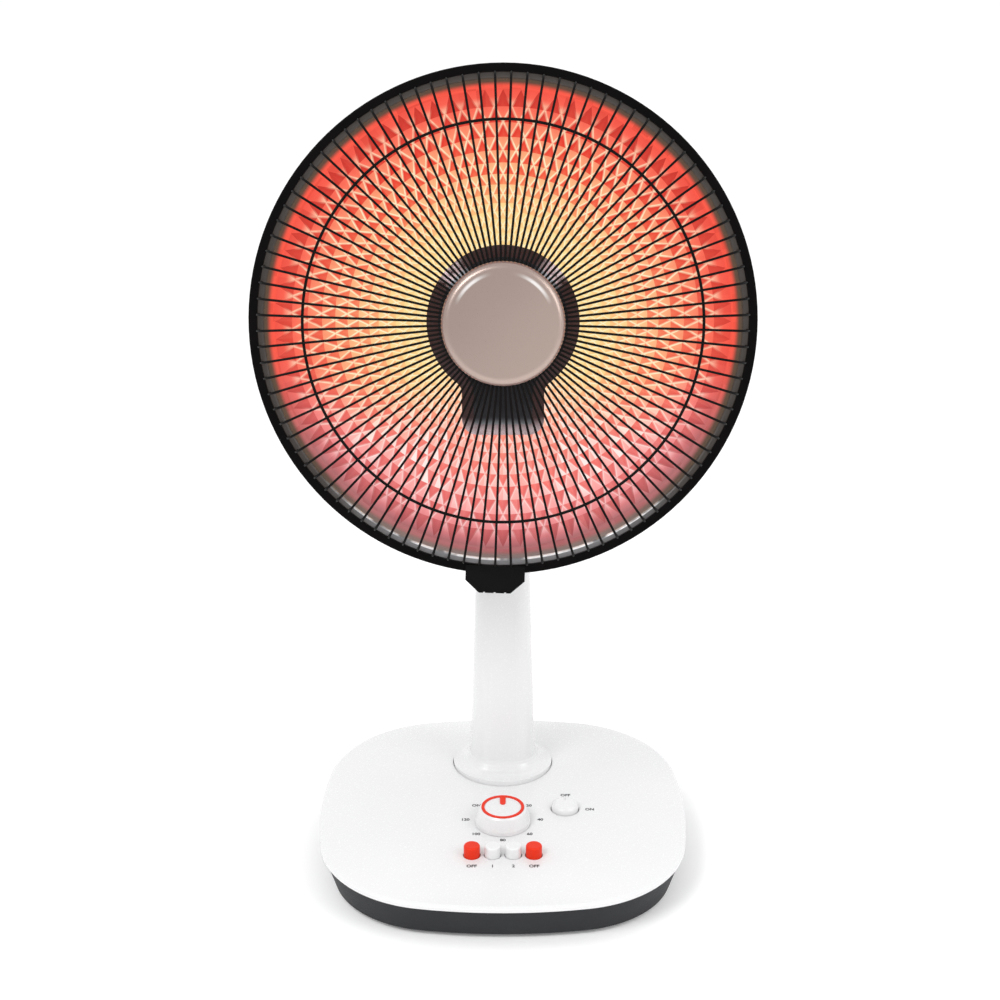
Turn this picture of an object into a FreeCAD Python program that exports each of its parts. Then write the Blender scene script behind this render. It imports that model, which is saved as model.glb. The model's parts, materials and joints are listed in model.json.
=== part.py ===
import FreeCAD, Part
import math
import os

from FreeCAD import Placement, Rotation, Vector

# Carbon heater: a round reflector head on a post that swings on a wedge-shaped base.
# Millimetres, +Z up, front towards -Y, origin on the ground under the middle of the base.

# Base outline: eight tangent arcs
base_width = 305.0
base_depth = 300.0
base_side_radius = 420.0
base_end_radius = 390.0
base_corner_radius = 100.0

# Base shells
seam_height_front = 30.0
seam_height_back = 42.0
skirt_inset = 11.0
cover_overhang = 1.5
shell_wall = 2.5
pan_floor = 3.0
cover_lip = 2.0
edge_inset = 3.0
edge_rise = 2.0
dome_run = 57.0
dome_rise = 8.0
dome_bands = 4

# Feet, ballast and base fastenings
foot_height = 4.0
foot_radius = 10.0
foot_seat_depth = 1.5
foot_side_inset = 52.5
foot_end_inset = 55.0
ballast_length = 120.0
ballast_thickness = 8.0
ballast_side_inset = 55.5
ballast_motor_gap = 17.0
ballast_y = -10.0
boss_radius = 5.0
base_screw_side_inset = 32.5
base_screw_end_inset = 90.0
base_screw_front_inset = 22.0
base_screw_radius = 2.0
base_screw_length = 14.0
base_screw_head_radius = 3.8
base_screw_head = 1.8

# Cord inlet and terminal block
inlet_height = 20.0
inlet_bore_radius = 3.6
inlet_body_radius = 6.0
inlet_flange_radius = 9.0
inlet_flange = 3.0
inlet_body_length = 7.0
inlet_recess = 6.0
terminal_length = 40.0
terminal_width = 20.0
terminal_height = 16.0
terminal_well_radius = 2.5
terminal_well_depth = 5.0
terminal_side_inset = 77.5
terminal_end_inset = 65.0

# Fits
shaft_clearance = 0.06
screw_clearance = 0.05
running_gap = 0.1
stack_gap = 0.1
seat_gap = 0.05

# Swivel at the foot of the post
swivel_share = 0.2
turntable_gap = 0.5
turntable_margin = 0.5
turntable_stand = 0.6
turntable_thickness = 6.0
slide_ring_thickness = 1.2
well_wall = 2.5
well_floor = 3.0
spigot_radius = 30.0
wire_hole_radius = 12.0
drive_plate_thickness = 3.0
drive_plate_radius = 38.0
drive_screw_circle = 22.0

# Swing drive: a crank pin in a slotted arm
swing = 40.0
crank_reach = 28.0
crank_pin_radius = 3.0
crank_slot_gap = 0.7
crank_thickness = 4.0
crank_gap = 0.4
crank_hub_radius = 6.5
crank_shaft_radius = 3.5
crank_shaft_length = 12.0
arm_border = 5.0
pin_short = 0.6
motor_radius = 25.0
motor_height = 18.0
motor_gap = 1.0
motor_ear_reach = 31.0
motor_ear_radius = 5.0
motor_ear = 2.0

# Post
post_top = 353.0
post_foot_width = 55.5
post_foot_depth = 48.0
post_foot_corner = 18.0
post_top_width = 38.0
post_top_depth = 33.0
post_top_corner = 12.0
post_side_radius = 120.0
post_front_radius = 90.0
post_flare = 12.5
flare_bands = 7
post_wall = 2.5
post_roof = 5.0
rear_cover_offset = 7.0
rear_cover_margin = 12.0
post_screw_edge = 24.0
post_boss_radius = 4.0
post_screw_radius = 1.5
post_screw_length = 12.0
post_screw_head_radius = 3.0
post_screw_head = 1.6
post_screw_sink = 2.0

# Tilt joint between post and head
pivot_rise = 34.0
pivot_back = 110.0
pivot_drop = 58.0
head_tilt = 13.1
lug_width = 20.0
lug_radius = 12.0
lug_flange = 4.0
lug_flange_width = 36.0
lug_flange_height = 32.0
lug_screw_gap = 0.2
lug_screw_z = 12.0
washer_thickness = 1.2
washer_radius = 10.0
ear_thickness = 3.0
ear_radius = 11.0
yoke_base = 3.0
yoke_depth = 25.0
yoke_screw_y = 7.5
tilt_bolt_radius = 4.0
tilt_head_radius = 7.0
tilt_head = 4.0
tilt_nut_radius = 7.5
tilt_nut = 5.0
nut_sides = 6

# Machine screws of the post and head
screw_radius = 2.0
screw_head_radius = 3.8
screw_head = 2.0

# Rim hoop of the head and what it clamps
hoop_radius = 190.0
hoop_band = 6.5
hoop_wall = 2.4
hoop_lip = 2.0
hoop_split = 3.0
rim_play = 0.4
rim_wire_radius = 1.4
dish_thickness = 0.8
rear_shell_wall = 2.0
clasp_width = 45.0
clasp_drop = 14.5
clasp_foot_width = 24.0
clasp_side = 5.0
clasp_grip = 1.6
clasp_turn = 1.8
clasp_notch = 1.4
clasp_screw_radius = 1.5
clasp_screw_head_radius = 3.0
clasp_screw_drop = 7.0

# Reflector dish
dish_flange_show = 4.0
dish_rim_run = 7.0
dish_rim_depth = 16.0
dish_depth = 72.0

# Rear shell, rear box and what they hold
rear_depth = 88.0
rear_band = 12.0
rear_flat_margin = 2.5
vent_count = 30
vent_width = 5.0
vent_inner = 95.0
vent_outer = 142.0
rear_box_radius = 34.0
rear_box_depth = 26.0
rear_box_wall = 2.2
rear_box_flange = 2.5
backing_thickness = 3.0
cutout_radius = 8.0
cutout_height = 7.0
cutout_rise = 14.0

# Wire guard and hub
wire_count = 96
wire_radius = 0.9
wire_start = 37.5
guard_front = 33.0
guard_shoulder = 20.0
guard_bend = 9.0
middle_hoop_inset = 42.0
middle_hoop_wire = 1.1
middle_hoop_weld = 0.8
hub_radius = 45.5
hub_depth = 7.0
hub_round = 6.0
hub_wall = 1.6
hub_plate_radius = 43.0
hub_plate = 1.2
hub_boss_radius = 4.0
hub_screw_circle = 26.0
hub_screw_count = 3

# Carbon lamp, seen from the front as a loop on two legs
lamp_gap = 0.2
lamp_loop_radius = 34.0
lamp_leg_x = 15.0
lamp_bend = 12.0
lamp_leg_end = -73.0
lamp_tube_radius = 6.5
lamp_tube_wall = 1.4
filament_radius = 2.2
socket_radius = 8.5
socket_length = 24.0
socket_grip = 13.0
socket_floor = 2.0
lead_radius = 1.6
lead_bend = 5.0
lead_y = 79.0
lead_top = -18.0
lead_end = 95.0
lead_hole_radius = 4.0
bush_radius = 4.0
bush_length = 14.0
bracket_thickness = 1.2
bracket_half_width = 26.0
bracket_leg_half_width = 8.0
bracket_leg_height = 12.0

# Keyhole shield in front of the lamp
shield_radius = 57.5
shield_neck_half_width = 31.0
shield_neck_end = -85.0
shield_corner = 12.0
shield_throat = 10.0
shield_front = 8.0
shield_depth = 12.0
shield_bevel = 9.0
shield_thickness = 0.8
stay_radius = 3.0
stay_head_radius = 6.0
stay_head = 2.0
stay_nut = 4.0
stay_collar_radius = 6.0
stud_radius = 2.0

# Timer, in the frame of the sloping deck
knob_share = -0.13
knob_foot_radius = 22.5
knob_top_radius = 19.2
knob_height = 14.0
knob_gap = 0.4
knob_rim = 3.0
knob_foot = 3.2
knob_edge = 1.4
knob_hub_radius = 6.5
knob_hollow = 5.0
knob_shaft_radius = 3.0
knob_shaft_grip = 8.0
knob_shaft_below = 10.0
knob_ring_outer = 17.5
knob_ring_inner = 15.1
knob_ring_stand = 0.7
knob_ring_seat = 1.2
pointer_width = 4.6
pointer_reach = 6.0
timer_width = 46.0
timer_depth = 40.0
timer_height = 24.0
timer_neck_radius = 5.0
timer_screw_x = 14.0

# Swing selector
selector_x = 51.7
selector_share = -0.06
selector_radius = 11.3
selector_stand = 6.0
selector_gap = 0.7
selector_skirt = 3.5
selector_edge = 4.0
selector_shaft_radius = 3.0
selector_shaft_length = 8.0
selector_body = 26.0
selector_body_height = 16.0
selector_drop = 4.5
selector_ear_reach = 19.0

# Push buttons and their switch
button_names = ["button_off_left", "button_low", "button_high", "button_off_right"]
button_pitch = 16.5
button_share = -0.292
button_radius = 6.5
button_gap = 0.6
button_stand = 9.6
button_crown = 1.6
button_skirt = 3.4
button_travel = 4.0
button_stem_radius = 2.5
button_stem_length = 6.0
switch_margin = 6.5
switch_depth = 22.0
switch_height = 20.0
switch_drop = 8.0
switch_ear_reach = 9.0
ear_plate = 2.0
ear_width = 11.0
inner_boss_radius = 3.6
inner_screw_radius = 1.4
inner_screw_length = 7.0
inner_screw_head_radius = 2.6
inner_screw_head = 1.2

# Tip-over switch
tip_end_inset = 38.0
plunger_radius = 5.0
plunger_collar_radius = 7.0
plunger_collar = 2.0
plunger_travel = 6.0
plunger_stem_radius = 3.0
plunger_stop_gap = 0.5
tip_body_width = 34.0
tip_body_depth = 18.0
tip_body_height = 12.0
tip_leg = 5.0
tip_bore_margin = 2.0

# Worked out from the above
deck_slope = math.degrees(math.atan2(seam_height_back - seam_height_front, base_depth))
seam_height = (seam_height_front + seam_height_back) / 2
deck_top = cover_lip + edge_rise + dome_rise
deck_underside = deck_top - shell_wall
floor_top = foot_height + pan_floor
deck_place = Placement(Vector(0, 0, seam_height), Rotation(Vector(1, 0, 0), deck_slope))
half_width = base_width / 2
half_depth = base_depth / 2

# Places on the base: a share of its depth, or a distance in from its edge
swivel_y = swivel_share * base_depth
knob_y = knob_share * base_depth
selector_y = selector_share * base_depth
button_y = button_share * base_depth
tip_y = half_depth - tip_end_inset
ballast_inner = motor_ear_reach + motor_ear_radius + ballast_motor_gap
ballast_outer = half_width - ballast_side_inset
terminal_x = terminal_side_inset - half_width
terminal_y = half_depth - terminal_end_inset
foot_spots = [(x, y) for x in (foot_side_inset - half_width, half_width - foot_side_inset)
              for y in (foot_end_inset - half_depth, half_depth - foot_end_inset)]
base_screw_x = half_width - base_screw_side_inset
base_screw_y = half_depth - base_screw_end_inset
base_screw_spots = [(x, y) for x in (-base_screw_x, base_screw_x) for y in (-base_screw_y, base_screw_y)]
base_screw_spots.append((0.0, base_screw_front_inset - half_depth))

flare_corner = post_foot_corner + post_flare
flare_half_width = post_foot_width / 2 + post_flare
flare_half_depth = post_foot_depth / 2 + post_flare
turntable_radius = flare_corner + turntable_margin + math.hypot(
    flare_half_width - flare_corner, flare_half_depth - flare_corner)
turntable_top = turntable_stand + seam_height + deck_top / math.cos(math.radians(deck_slope)) + (
    swivel_y + turntable_radius) * math.tan(math.radians(deck_slope))
turntable_bottom = turntable_top - turntable_thickness
well_top = turntable_bottom - running_gap - slide_ring_thickness
well_bottom = well_top - well_floor
spigot_bottom = well_bottom - 2 * running_gap
drive_plate_bottom = spigot_bottom - drive_plate_thickness

crank_throw = crank_reach * math.tan(math.radians(swing))
crank_y = swivel_y - crank_reach
crank_top = drive_plate_bottom - screw_head - crank_gap
crank_bottom = crank_top - crank_thickness
motor_top = crank_bottom - motor_gap
motor_bottom = motor_top - motor_height

post_foot = turntable_top + post_flare
pivot_height = post_top + pivot_rise
ear_inner = lug_width / 2 + washer_thickness + 2 * running_gap
ear_outer = ear_inner + ear_thickness

hoop_inner = hoop_radius - hoop_band
middle_hoop_radius = hoop_radius - middle_hoop_inset
channel_radius = hoop_radius - hoop_wall
flange_radius = channel_radius - rim_play
rim_wire_ring = hoop_inner + rim_wire_radius
wire_end_radius = hoop_inner - wire_radius - stack_gap
rim_wire_y = -rim_wire_radius - stack_gap
dish_flange_y = 0.0
shell_flange_y = dish_thickness + stack_gap
hoop_back = shell_flange_y + rear_shell_wall + stack_gap
hoop_front = rim_wire_y - rim_wire_radius - stack_gap

dish_rim_radius = hoop_inner - dish_flange_show
dish_bowl_radius = dish_rim_radius - dish_rim_run
dish_sag = dish_depth - dish_rim_depth
dish_sphere = (dish_bowl_radius ** 2 + dish_sag ** 2) / (2 * dish_sag)
dish_centre = dish_depth - dish_sphere
rear_flat_radius = rear_flat_margin + math.hypot(lug_flange_width / 2, pivot_drop + lug_flange_height / 2)
lead_z = lamp_leg_end - socket_grip / 2
lamp_y = shield_depth - shield_front + lamp_gap + socket_radius
lug_screw_x = lug_width / 2 + lug_screw_gap + screw_head_radius
head_place = Placement(
    Vector(0, swivel_y, pivot_height), Rotation(Vector(1, 0, 0), -head_tilt)
).multiply(Placement(Vector(0, -pivot_back, pivot_drop), Rotation()))


# Plain solids

def box(x_low, x_high, y_low, y_high, z_low, z_high):
    corner = Vector(x_low, y_low, z_low)
    return Part.makeBox(x_high - x_low, y_high - y_low, z_high - z_low, corner)


def rod_x(radius, low, high, y=0.0, z=0.0):
    return Part.makeCylinder(radius, high - low, Vector(low, y, z), Vector(1, 0, 0))


def rod_y(radius, low, high, x=0.0, z=0.0):
    return Part.makeCylinder(radius, high - low, Vector(x, low, z), Vector(0, 1, 0))


def rod_z(radius, low, high, x=0.0, y=0.0):
    return Part.makeCylinder(radius, high - low, Vector(x, y, low), Vector(0, 0, 1))


def tube_y(outer, inner, low, high, x=0.0, z=0.0):
    return rod_y(outer, low, high, x, z).cut(rod_y(inner, low, high, x, z))


def screw_z(radius, length, head_radius, head, x, y, seat):
    """A screw that points down, with its head standing on the height seat."""
    shank = rod_z(radius, seat - length, seat, x, y)
    return shank.fuse(rod_z(head_radius, seat, seat + head, x, y)).removeSplitter()


def screw_up(radius, length, head_radius, head, x, y, seat):
    """A screw that points up, with its head hanging under the height seat."""
    shank = rod_z(radius, seat, seat + length, x, y)
    return shank.fuse(rod_z(head_radius, seat - head, seat, x, y)).removeSplitter()


def screw_front(radius, length, head_radius, head, x, z, seat):
    """A screw put in from behind, pointing to the front, with its head behind seat."""
    shank = rod_y(radius, seat - length, seat, x, z)
    return shank.fuse(rod_y(head_radius, seat, seat + head, x, z)).removeSplitter()


def turned_y(edges):
    """A solid of revolution about the Y axis from edges in the XY half-plane."""
    return Part.Face(Part.Wire(edges)).revolve(Vector(0, 0, 0), Vector(0, 1, 0), 360)


def turned_z(points):
    """A solid of revolution about the Z axis from (radius, height) points."""
    corners = [Vector(radius, 0, height) for radius, height in points]
    outline = Part.makePolygon(corners + corners[:1])
    return Part.Face(outline).revolve(Vector(0, 0, 0), Vector(0, 0, 1), 360)


def line(start, end):
    return Part.LineSegment(start, end).toShape()


def arc(centre, radius, start, stop):
    """An arc in the XY plane between two angles in radians."""
    angles = [start, (start + stop) / 2, stop]
    points = [centre + Vector(radius * math.cos(a), radius * math.sin(a), 0) for a in angles]
    return Part.Arc(*points).toShape()


def moved(shape, x=0.0, y=0.0, z=0.0):
    return shape.translated(Vector(x, y, z))


def joined(shapes):
    return shapes[0].fuse(shapes[1:]).removeSplitter()


def placed(shape, placement):
    result = shape.copy()
    result.Placement = placement.multiply(result.Placement)
    return result


def on_deck(shape):
    return placed(shape, deck_place)


def around_y(shape, count, first=0.0):
    copies = []
    for index in range(count):
        copy = shape.copy()
        copy.rotate(Vector(0, 0, 0), Vector(0, 1, 0), first + 360.0 * index / count)
        copies.append(copy)
    return copies


def square_spots(radius, middle=0.0):
    """Four spots on a circle, at the corners of an upright square."""
    angles = [math.radians(45 + 90 * quarter) for quarter in range(4)]
    return [(radius * math.cos(angle), middle + radius * math.sin(angle)) for angle in angles]


def rounded_outline(width, depth, side_radius, end_radius, corner_radius, inset, height):
    """Eight tangent arcs round the Z axis at a height; a positive inset shrinks them evenly."""
    side = side_radius - inset
    end = end_radius - inset
    corner = corner_radius - inset
    side_x = width / 2 - side_radius
    end_y = depth / 2 - end_radius
    span = math.hypot(side_x, end_y)
    along = ((side - corner) ** 2 - (end - corner) ** 2 + span ** 2) / (2 * span)
    across = math.sqrt((side - corner) ** 2 - along ** 2)
    unit_x = -side_x / span
    unit_y = end_y / span
    corner_x = side_x + along * unit_x - across * unit_y
    corner_y = along * unit_y + across * unit_x
    low = math.atan2(corner_y, corner_x - side_x)
    high = math.atan2(corner_y - end_y, corner_x)
    turn = math.pi
    arcs = [
        arc(Vector(side_x, 0, height), side, -low, low),
        arc(Vector(corner_x, corner_y, height), corner, low, high),
        arc(Vector(0, end_y, height), end, high, turn - high),
        arc(Vector(-corner_x, corner_y, height), corner, turn - high, turn - low),
        arc(Vector(-side_x, 0, height), side, turn - low, turn + low),
        arc(Vector(-corner_x, -corner_y, height), corner, turn + low, turn + high),
        arc(Vector(0, -end_y, height), end, turn + high, 2 * turn - high),
        arc(Vector(corner_x, -corner_y, height), corner, 2 * turn - high, 2 * turn - low),
    ]
    return Part.Wire(arcs)


def base_outline(inset, height):
    return rounded_outline(
        base_width, base_depth, base_side_radius, base_end_radius, base_corner_radius, inset, height)


# Base

def pan_solid(inset, low):
    foot = base_outline(skirt_inset + inset, low)
    top = on_deck(base_outline(cover_overhang + inset, 0.0))
    return Part.makeLoft([foot, top], True, True)


def base_pan():
    outer = pan_solid(0.0, foot_height)
    pan = outer.cut(pan_solid(shell_wall, floor_top))
    inlet_start = inlet_face - inlet_body_length
    inlet = rod_y(inlet_flange_radius + shell_wall, inlet_start, base_depth, 0, inlet_height)
    pillars = [rod_z(motor_ear_radius, floor_top, motor_bottom, x, crank_y) for x in motor_ear_spots]
    pan = joined([pan, inlet.common(outer)] + pillars)
    recess = rod_y(inlet_flange_radius + screw_clearance, inlet_face, base_depth, 0, inlet_height)
    body = rod_y(inlet_body_radius + screw_clearance, 0, base_depth, 0, inlet_height)
    body = body.common(box(-base_width, base_width, base_depth / 4, base_depth, 0, base_depth))
    cuts = [recess, body]
    for x, y in base_screw_spots:
        cuts.append(rod_z(base_screw_radius + screw_clearance, 0, floor_top, x, y))
        cuts.append(rod_z(base_screw_head_radius + screw_clearance, 0, base_screw_seat, x, y))
    for x, y in foot_spots:
        cuts.append(rod_z(foot_radius + screw_clearance, 0, foot_height + foot_seat_depth, x, y))
    for x in motor_ear_spots:
        cuts.append(rod_z(inner_screw_radius + screw_clearance, floor_top, motor_bottom, x, crank_y))
    cuts.append(rod_z(plunger_radius + shaft_clearance, 0, floor_top, 0, tip_y))
    return pan.cut(cuts)


def dome_sections(wall):
    """Outlines of the deck from its rounded edge to its flat top, lowered by a wall."""
    sections = []
    for band in range(dome_bands + 1):
        share = band / dome_bands
        height = deck_top - dome_rise * (1 - share) ** 2 - wall
        spare = wall * (1 - share)
        sections.append(base_outline(edge_inset + dome_run * share + spare, height))
    return sections


def cover_solid(wall, low):
    """The cover's outer form, or its hollow when given a wall."""
    lip = [base_outline(wall, low), base_outline(wall, cover_lip - wall / 2)]
    dome = dome_sections(wall)
    return joined([
        Part.makeLoft(lip, True, True),
        Part.makeLoft([lip[1], dome[0]], True, True),
        Part.makeLoft(dome, True, False),
    ])


def base_cover():
    outer = on_deck(cover_solid(0.0, 0.0))
    hollow = on_deck(cover_solid(shell_wall, -shell_wall))
    cup = rod_z(turntable_radius + turntable_gap + well_wall, well_bottom, turntable_top, 0, swivel_y)
    bosses = [rod_z(boss_radius, floor_top, turntable_top, x, y) for x, y in base_screw_spots]
    for x, y, drop in inner_boss_spots:
        bosses.append(on_deck(rod_z(inner_boss_radius, deck_top - drop, deck_top, x, y)))
    inside = pan_solid(shell_wall + seat_gap, floor_top)
    trim = joined([outer, inside])
    cover = joined([outer.cut(hollow)] + [boss.common(trim) for boss in [cup] + bosses])
    return cover.cut(cover_holes())


def cover_holes():
    well = rod_z(turntable_radius + turntable_gap, well_top, pivot_height, 0, swivel_y)
    bore = rod_z(spigot_radius + shaft_clearance, 0, pivot_height, 0, swivel_y)
    cuts = [well, bore]
    deck_cuts = [rod_z(timer_neck_radius + screw_clearance, 0, deck_high, 0, knob_y)]
    deck_cuts.append(rod_z(selector_radius + selector_gap, 0, deck_high, selector_x, selector_y))
    for x in timer_screw_spots:
        deck_cuts.append(rod_z(inner_screw_radius + screw_clearance, 0, deck_high, x, knob_y))
    for x in button_spots:
        deck_cuts.append(rod_z(button_radius + button_gap, 0, deck_high, x, button_y))
    for x, y, drop in inner_boss_spots:
        low = deck_top - drop
        hole = inner_screw_radius + screw_clearance
        deck_cuts.append(rod_z(hole, low, low + inner_screw_length - ear_plate + seat_gap, x, y))
    for x, y in base_screw_spots:
        top = base_screw_seat + base_screw_length + seat_gap
        cuts.append(rod_z(base_screw_radius + screw_clearance, floor_top, top, x, y))
    return cuts + [on_deck(cut) for cut in deck_cuts]


def rubber_feet():
    top = foot_height + foot_seat_depth
    ease = foot_height / 4
    profile = [(0, 0), (foot_radius - ease, 0), (foot_radius, ease), (foot_radius, top), (0, top)]
    return Part.makeCompound([moved(turned_z(profile), x, y) for x, y in foot_spots])


def base_screws():
    return Part.makeCompound([
        screw_up(base_screw_radius, base_screw_length, base_screw_head_radius, base_screw_head, x, y,
                 base_screw_seat)
        for x, y in base_screw_spots])


def ballast_plates():
    width = ballast_outer - ballast_inner
    front = ballast_y - ballast_length / 2
    plates = []
    for low in (-ballast_outer, ballast_inner):
        plates.append(box(low, low + width, front, front + ballast_length,
                          floor_top, floor_top + ballast_thickness))
    return Part.makeCompound(plates)


def cord_bush():
    flange = rod_y(inlet_flange_radius, inlet_face, inlet_face + inlet_flange, 0, inlet_height)
    body = rod_y(inlet_body_radius, inlet_face - inlet_body_length, inlet_face, 0, inlet_height)
    bore = rod_y(inlet_bore_radius, 0, base_depth, 0, inlet_height)
    return flange.fuse(body).cut(bore)


def terminal_block():
    half = terminal_width / 2
    top = floor_top + terminal_height
    block = box(terminal_x - terminal_length / 2, terminal_x + terminal_length / 2,
                terminal_y - half, terminal_y + half, floor_top, top)
    pitch = terminal_length / 3
    wells = []
    for x in (terminal_x - pitch, terminal_x, terminal_x + pitch):
        for y in (terminal_y - half / 2, terminal_y + half / 2):
            wells.append(rod_z(terminal_well_radius, top - terminal_well_depth, top, x, y))
    return block.cut(wells)


# Swing drive

def slide_ring():
    outer = rod_z(turntable_radius - turntable_gap, well_top, well_top + slide_ring_thickness, 0, swivel_y)
    return outer.cut(rod_z(spigot_radius + turntable_gap, 0, pivot_height, 0, swivel_y))


def motor():
    body = rod_z(motor_radius, motor_bottom, motor_top, 0, crank_y)
    parts = [body]
    for x in motor_ear_spots:
        low = min(0.0, x)
        parts.append(box(low, low + abs(x), crank_y - motor_ear_radius, crank_y + motor_ear_radius,
                         motor_bottom, motor_bottom + motor_ear))
        parts.append(rod_z(motor_ear_radius, motor_bottom, motor_bottom + motor_ear, x, crank_y))
    cuts = [rod_z(crank_shaft_radius + shaft_clearance, motor_top - crank_shaft_length - seat_gap, motor_top,
                  0, crank_y)]
    for x in motor_ear_spots:
        cuts.append(rod_z(inner_screw_radius + screw_clearance, motor_bottom, motor_top, x, crank_y))
    return joined(parts).cut(cuts)


def crank():
    arm = box(-crank_hub_radius, crank_hub_radius, crank_y - crank_throw, crank_y, crank_bottom, crank_top)
    hub = rod_z(crank_hub_radius, crank_bottom, crank_top, 0, crank_y)
    eye = rod_z(crank_hub_radius, crank_bottom, crank_top, 0, crank_y - crank_throw)
    pin = rod_z(crank_pin_radius, crank_top, spigot_bottom - pin_short, 0, crank_y - crank_throw)
    shaft = rod_z(crank_shaft_radius, motor_top - crank_shaft_length, crank_bottom, 0, crank_y)
    return joined([arm, hub, eye, pin, shaft])


def drive_plate():
    slot_half = crank_pin_radius + crank_slot_gap
    far = crank_reach + crank_throw
    near = math.hypot(crank_reach, crank_throw)
    arm_half = slot_half + arm_border
    low = drive_plate_bottom
    disc = rod_z(drive_plate_radius, low, spigot_bottom, 0, swivel_y)
    arm = box(-arm_half, arm_half, swivel_y - far, swivel_y, low, spigot_bottom)
    eye = rod_z(arm_half, low, spigot_bottom, 0, swivel_y - far)
    cuts = [box(-slot_half, slot_half, swivel_y - far, swivel_y - near, low, spigot_bottom)]
    cuts += [rod_z(slot_half, low, spigot_bottom, 0, swivel_y - reach) for reach in (near, far)]
    cuts.append(rod_z(wire_hole_radius, low, spigot_bottom, 0, swivel_y))
    for x, y in drive_screw_spots:
        cuts.append(rod_z(screw_radius + screw_clearance, low, spigot_bottom, x, y))
    return joined([disc, arm, eye]).cut(cuts)


# Post

def post_section(height, inset):
    """Outline of the post at a height; it narrows evenly from its foot to its top."""
    share = (height - post_foot) / (post_top - post_foot)
    width = post_foot_width + share * (post_top_width - post_foot_width)
    depth = post_foot_depth + share * (post_top_depth - post_foot_depth)
    corner = post_foot_corner + share * (post_top_corner - post_foot_corner)
    outline = rounded_outline(width, depth, post_side_radius, post_front_radius, corner, inset, height)
    return moved(outline, 0, swivel_y)


def post_depth_at(height):
    share = (height - post_foot) / (post_top - post_foot)
    return post_foot_depth + share * (post_top_depth - post_foot_depth)


def post_flare_section(share):
    """Outline of the hollow curve that spreads the post's foot onto the turntable."""
    angle = share * math.pi / 2
    rise = post_flare * (1 - math.cos(angle))
    spread = post_flare * (1 - math.sin(angle))
    outline = rounded_outline(
        post_foot_width, post_foot_depth, post_side_radius, post_front_radius, post_foot_corner,
        -spread, turntable_top + rise)
    return moved(outline, 0, swivel_y)


def post_body():
    disc = rod_z(turntable_radius, turntable_bottom, turntable_top, 0, swivel_y)
    spigot = rod_z(spigot_radius, spigot_bottom, turntable_bottom, 0, swivel_y)
    flare = Part.makeLoft([post_flare_section(k / flare_bands) for k in range(flare_bands + 1)], True, True)
    shaft = Part.makeLoft([post_section(post_foot, 0), post_section(post_top, 0)], True, True)
    return joined([disc, spigot, flare, shaft])


def post_hollow():
    ends = [post_section(post_foot, post_wall), post_section(post_top - post_roof, post_wall)]
    return Part.makeLoft(ends, True, True)


def rear_cover_region():
    low = post_foot + rear_cover_margin
    high = post_top - rear_cover_margin
    return box(-base_width, base_width, swivel_y + rear_cover_offset, base_depth, low, high)


def post_screw_seat(height):
    return swivel_y + post_depth_at(height) / 2 - post_screw_sink


def post_shell():
    hollow = post_hollow()
    parts = [post_body().cut(hollow)]
    for height in post_screw_heights:
        end = swivel_y + post_depth_at(height) / 2 - post_wall - running_gap
        parts.append(rod_y(post_boss_radius, 0, end, 0, height).common(hollow))
    cuts = [rear_cover_region().cut(hollow), rod_z(wire_hole_radius, 0, post_foot, 0, swivel_y)]
    for x, y in drive_screw_spots:
        top = drive_plate_bottom + drive_screw_length + seat_gap
        cuts.append(rod_z(screw_radius + screw_clearance, 0, top, x, y))
    for height in post_screw_heights:
        seat = post_screw_seat(height)
        end = seat - post_screw_length - seat_gap
        cuts.append(rod_y(post_screw_radius + screw_clearance, end, seat, 0, height))
    for x, y in yoke_screw_spots:
        cuts.append(rod_z(screw_radius + screw_clearance, post_top - post_roof, post_top, x, y))
    return joined(parts).cut(cuts)


def post_rear_cover():
    cover = post_body().cut(post_hollow()).common(rear_cover_region())
    cuts = []
    for height in post_screw_heights:
        seat = post_screw_seat(height)
        cuts.append(rod_y(post_screw_radius + screw_clearance, swivel_y, seat, 0, height))
        cuts.append(rod_y(post_screw_head_radius + screw_clearance, seat, base_depth, 0, height))
    return cover.cut(cuts)


def post_screws():
    return Part.makeCompound([
        screw_front(post_screw_radius, post_screw_length, post_screw_head_radius, post_screw_head,
                    0, height, post_screw_seat(height))
        for height in post_screw_heights])


def mast_screws():
    screws = []
    for x, y in drive_screw_spots:
        screws.append(screw_up(screw_radius, drive_screw_length, screw_head_radius, screw_head, x, y,
                               drive_plate_bottom))
    for x, y in yoke_screw_spots:
        screws.append(screw_z(screw_radius, post_roof + yoke_base - seat_gap, screw_head_radius, screw_head,
                              x, y, post_top + yoke_base))
    return Part.makeCompound(screws)


# Tilt joint

def tilt_yoke():
    half = yoke_depth / 2
    low = post_top
    parts = [box(-ear_outer, ear_outer, swivel_y - half, swivel_y + half, low, low + yoke_base)]
    for x in (-ear_outer, ear_inner):
        parts.append(box(x, x + ear_thickness, swivel_y - ear_radius, swivel_y + ear_radius,
                         low, pivot_height))
        parts.append(rod_x(ear_radius, x, x + ear_thickness, swivel_y, pivot_height))
    cuts = [rod_x(tilt_bolt_radius + shaft_clearance, -ear_outer, ear_outer, swivel_y, pivot_height)]
    for x, y in yoke_screw_spots:
        cuts.append(rod_z(screw_radius + screw_clearance, low, low + yoke_base, x, y))
    return joined(parts).cut(cuts)


def tilt_bolt():
    end = ear_outer + running_gap + tilt_nut
    shank = rod_x(tilt_bolt_radius, -ear_outer, end, swivel_y, pivot_height)
    head = rod_x(tilt_head_radius, -ear_outer - tilt_head, -ear_outer, swivel_y, pivot_height)
    return joined([shank, head])


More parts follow.
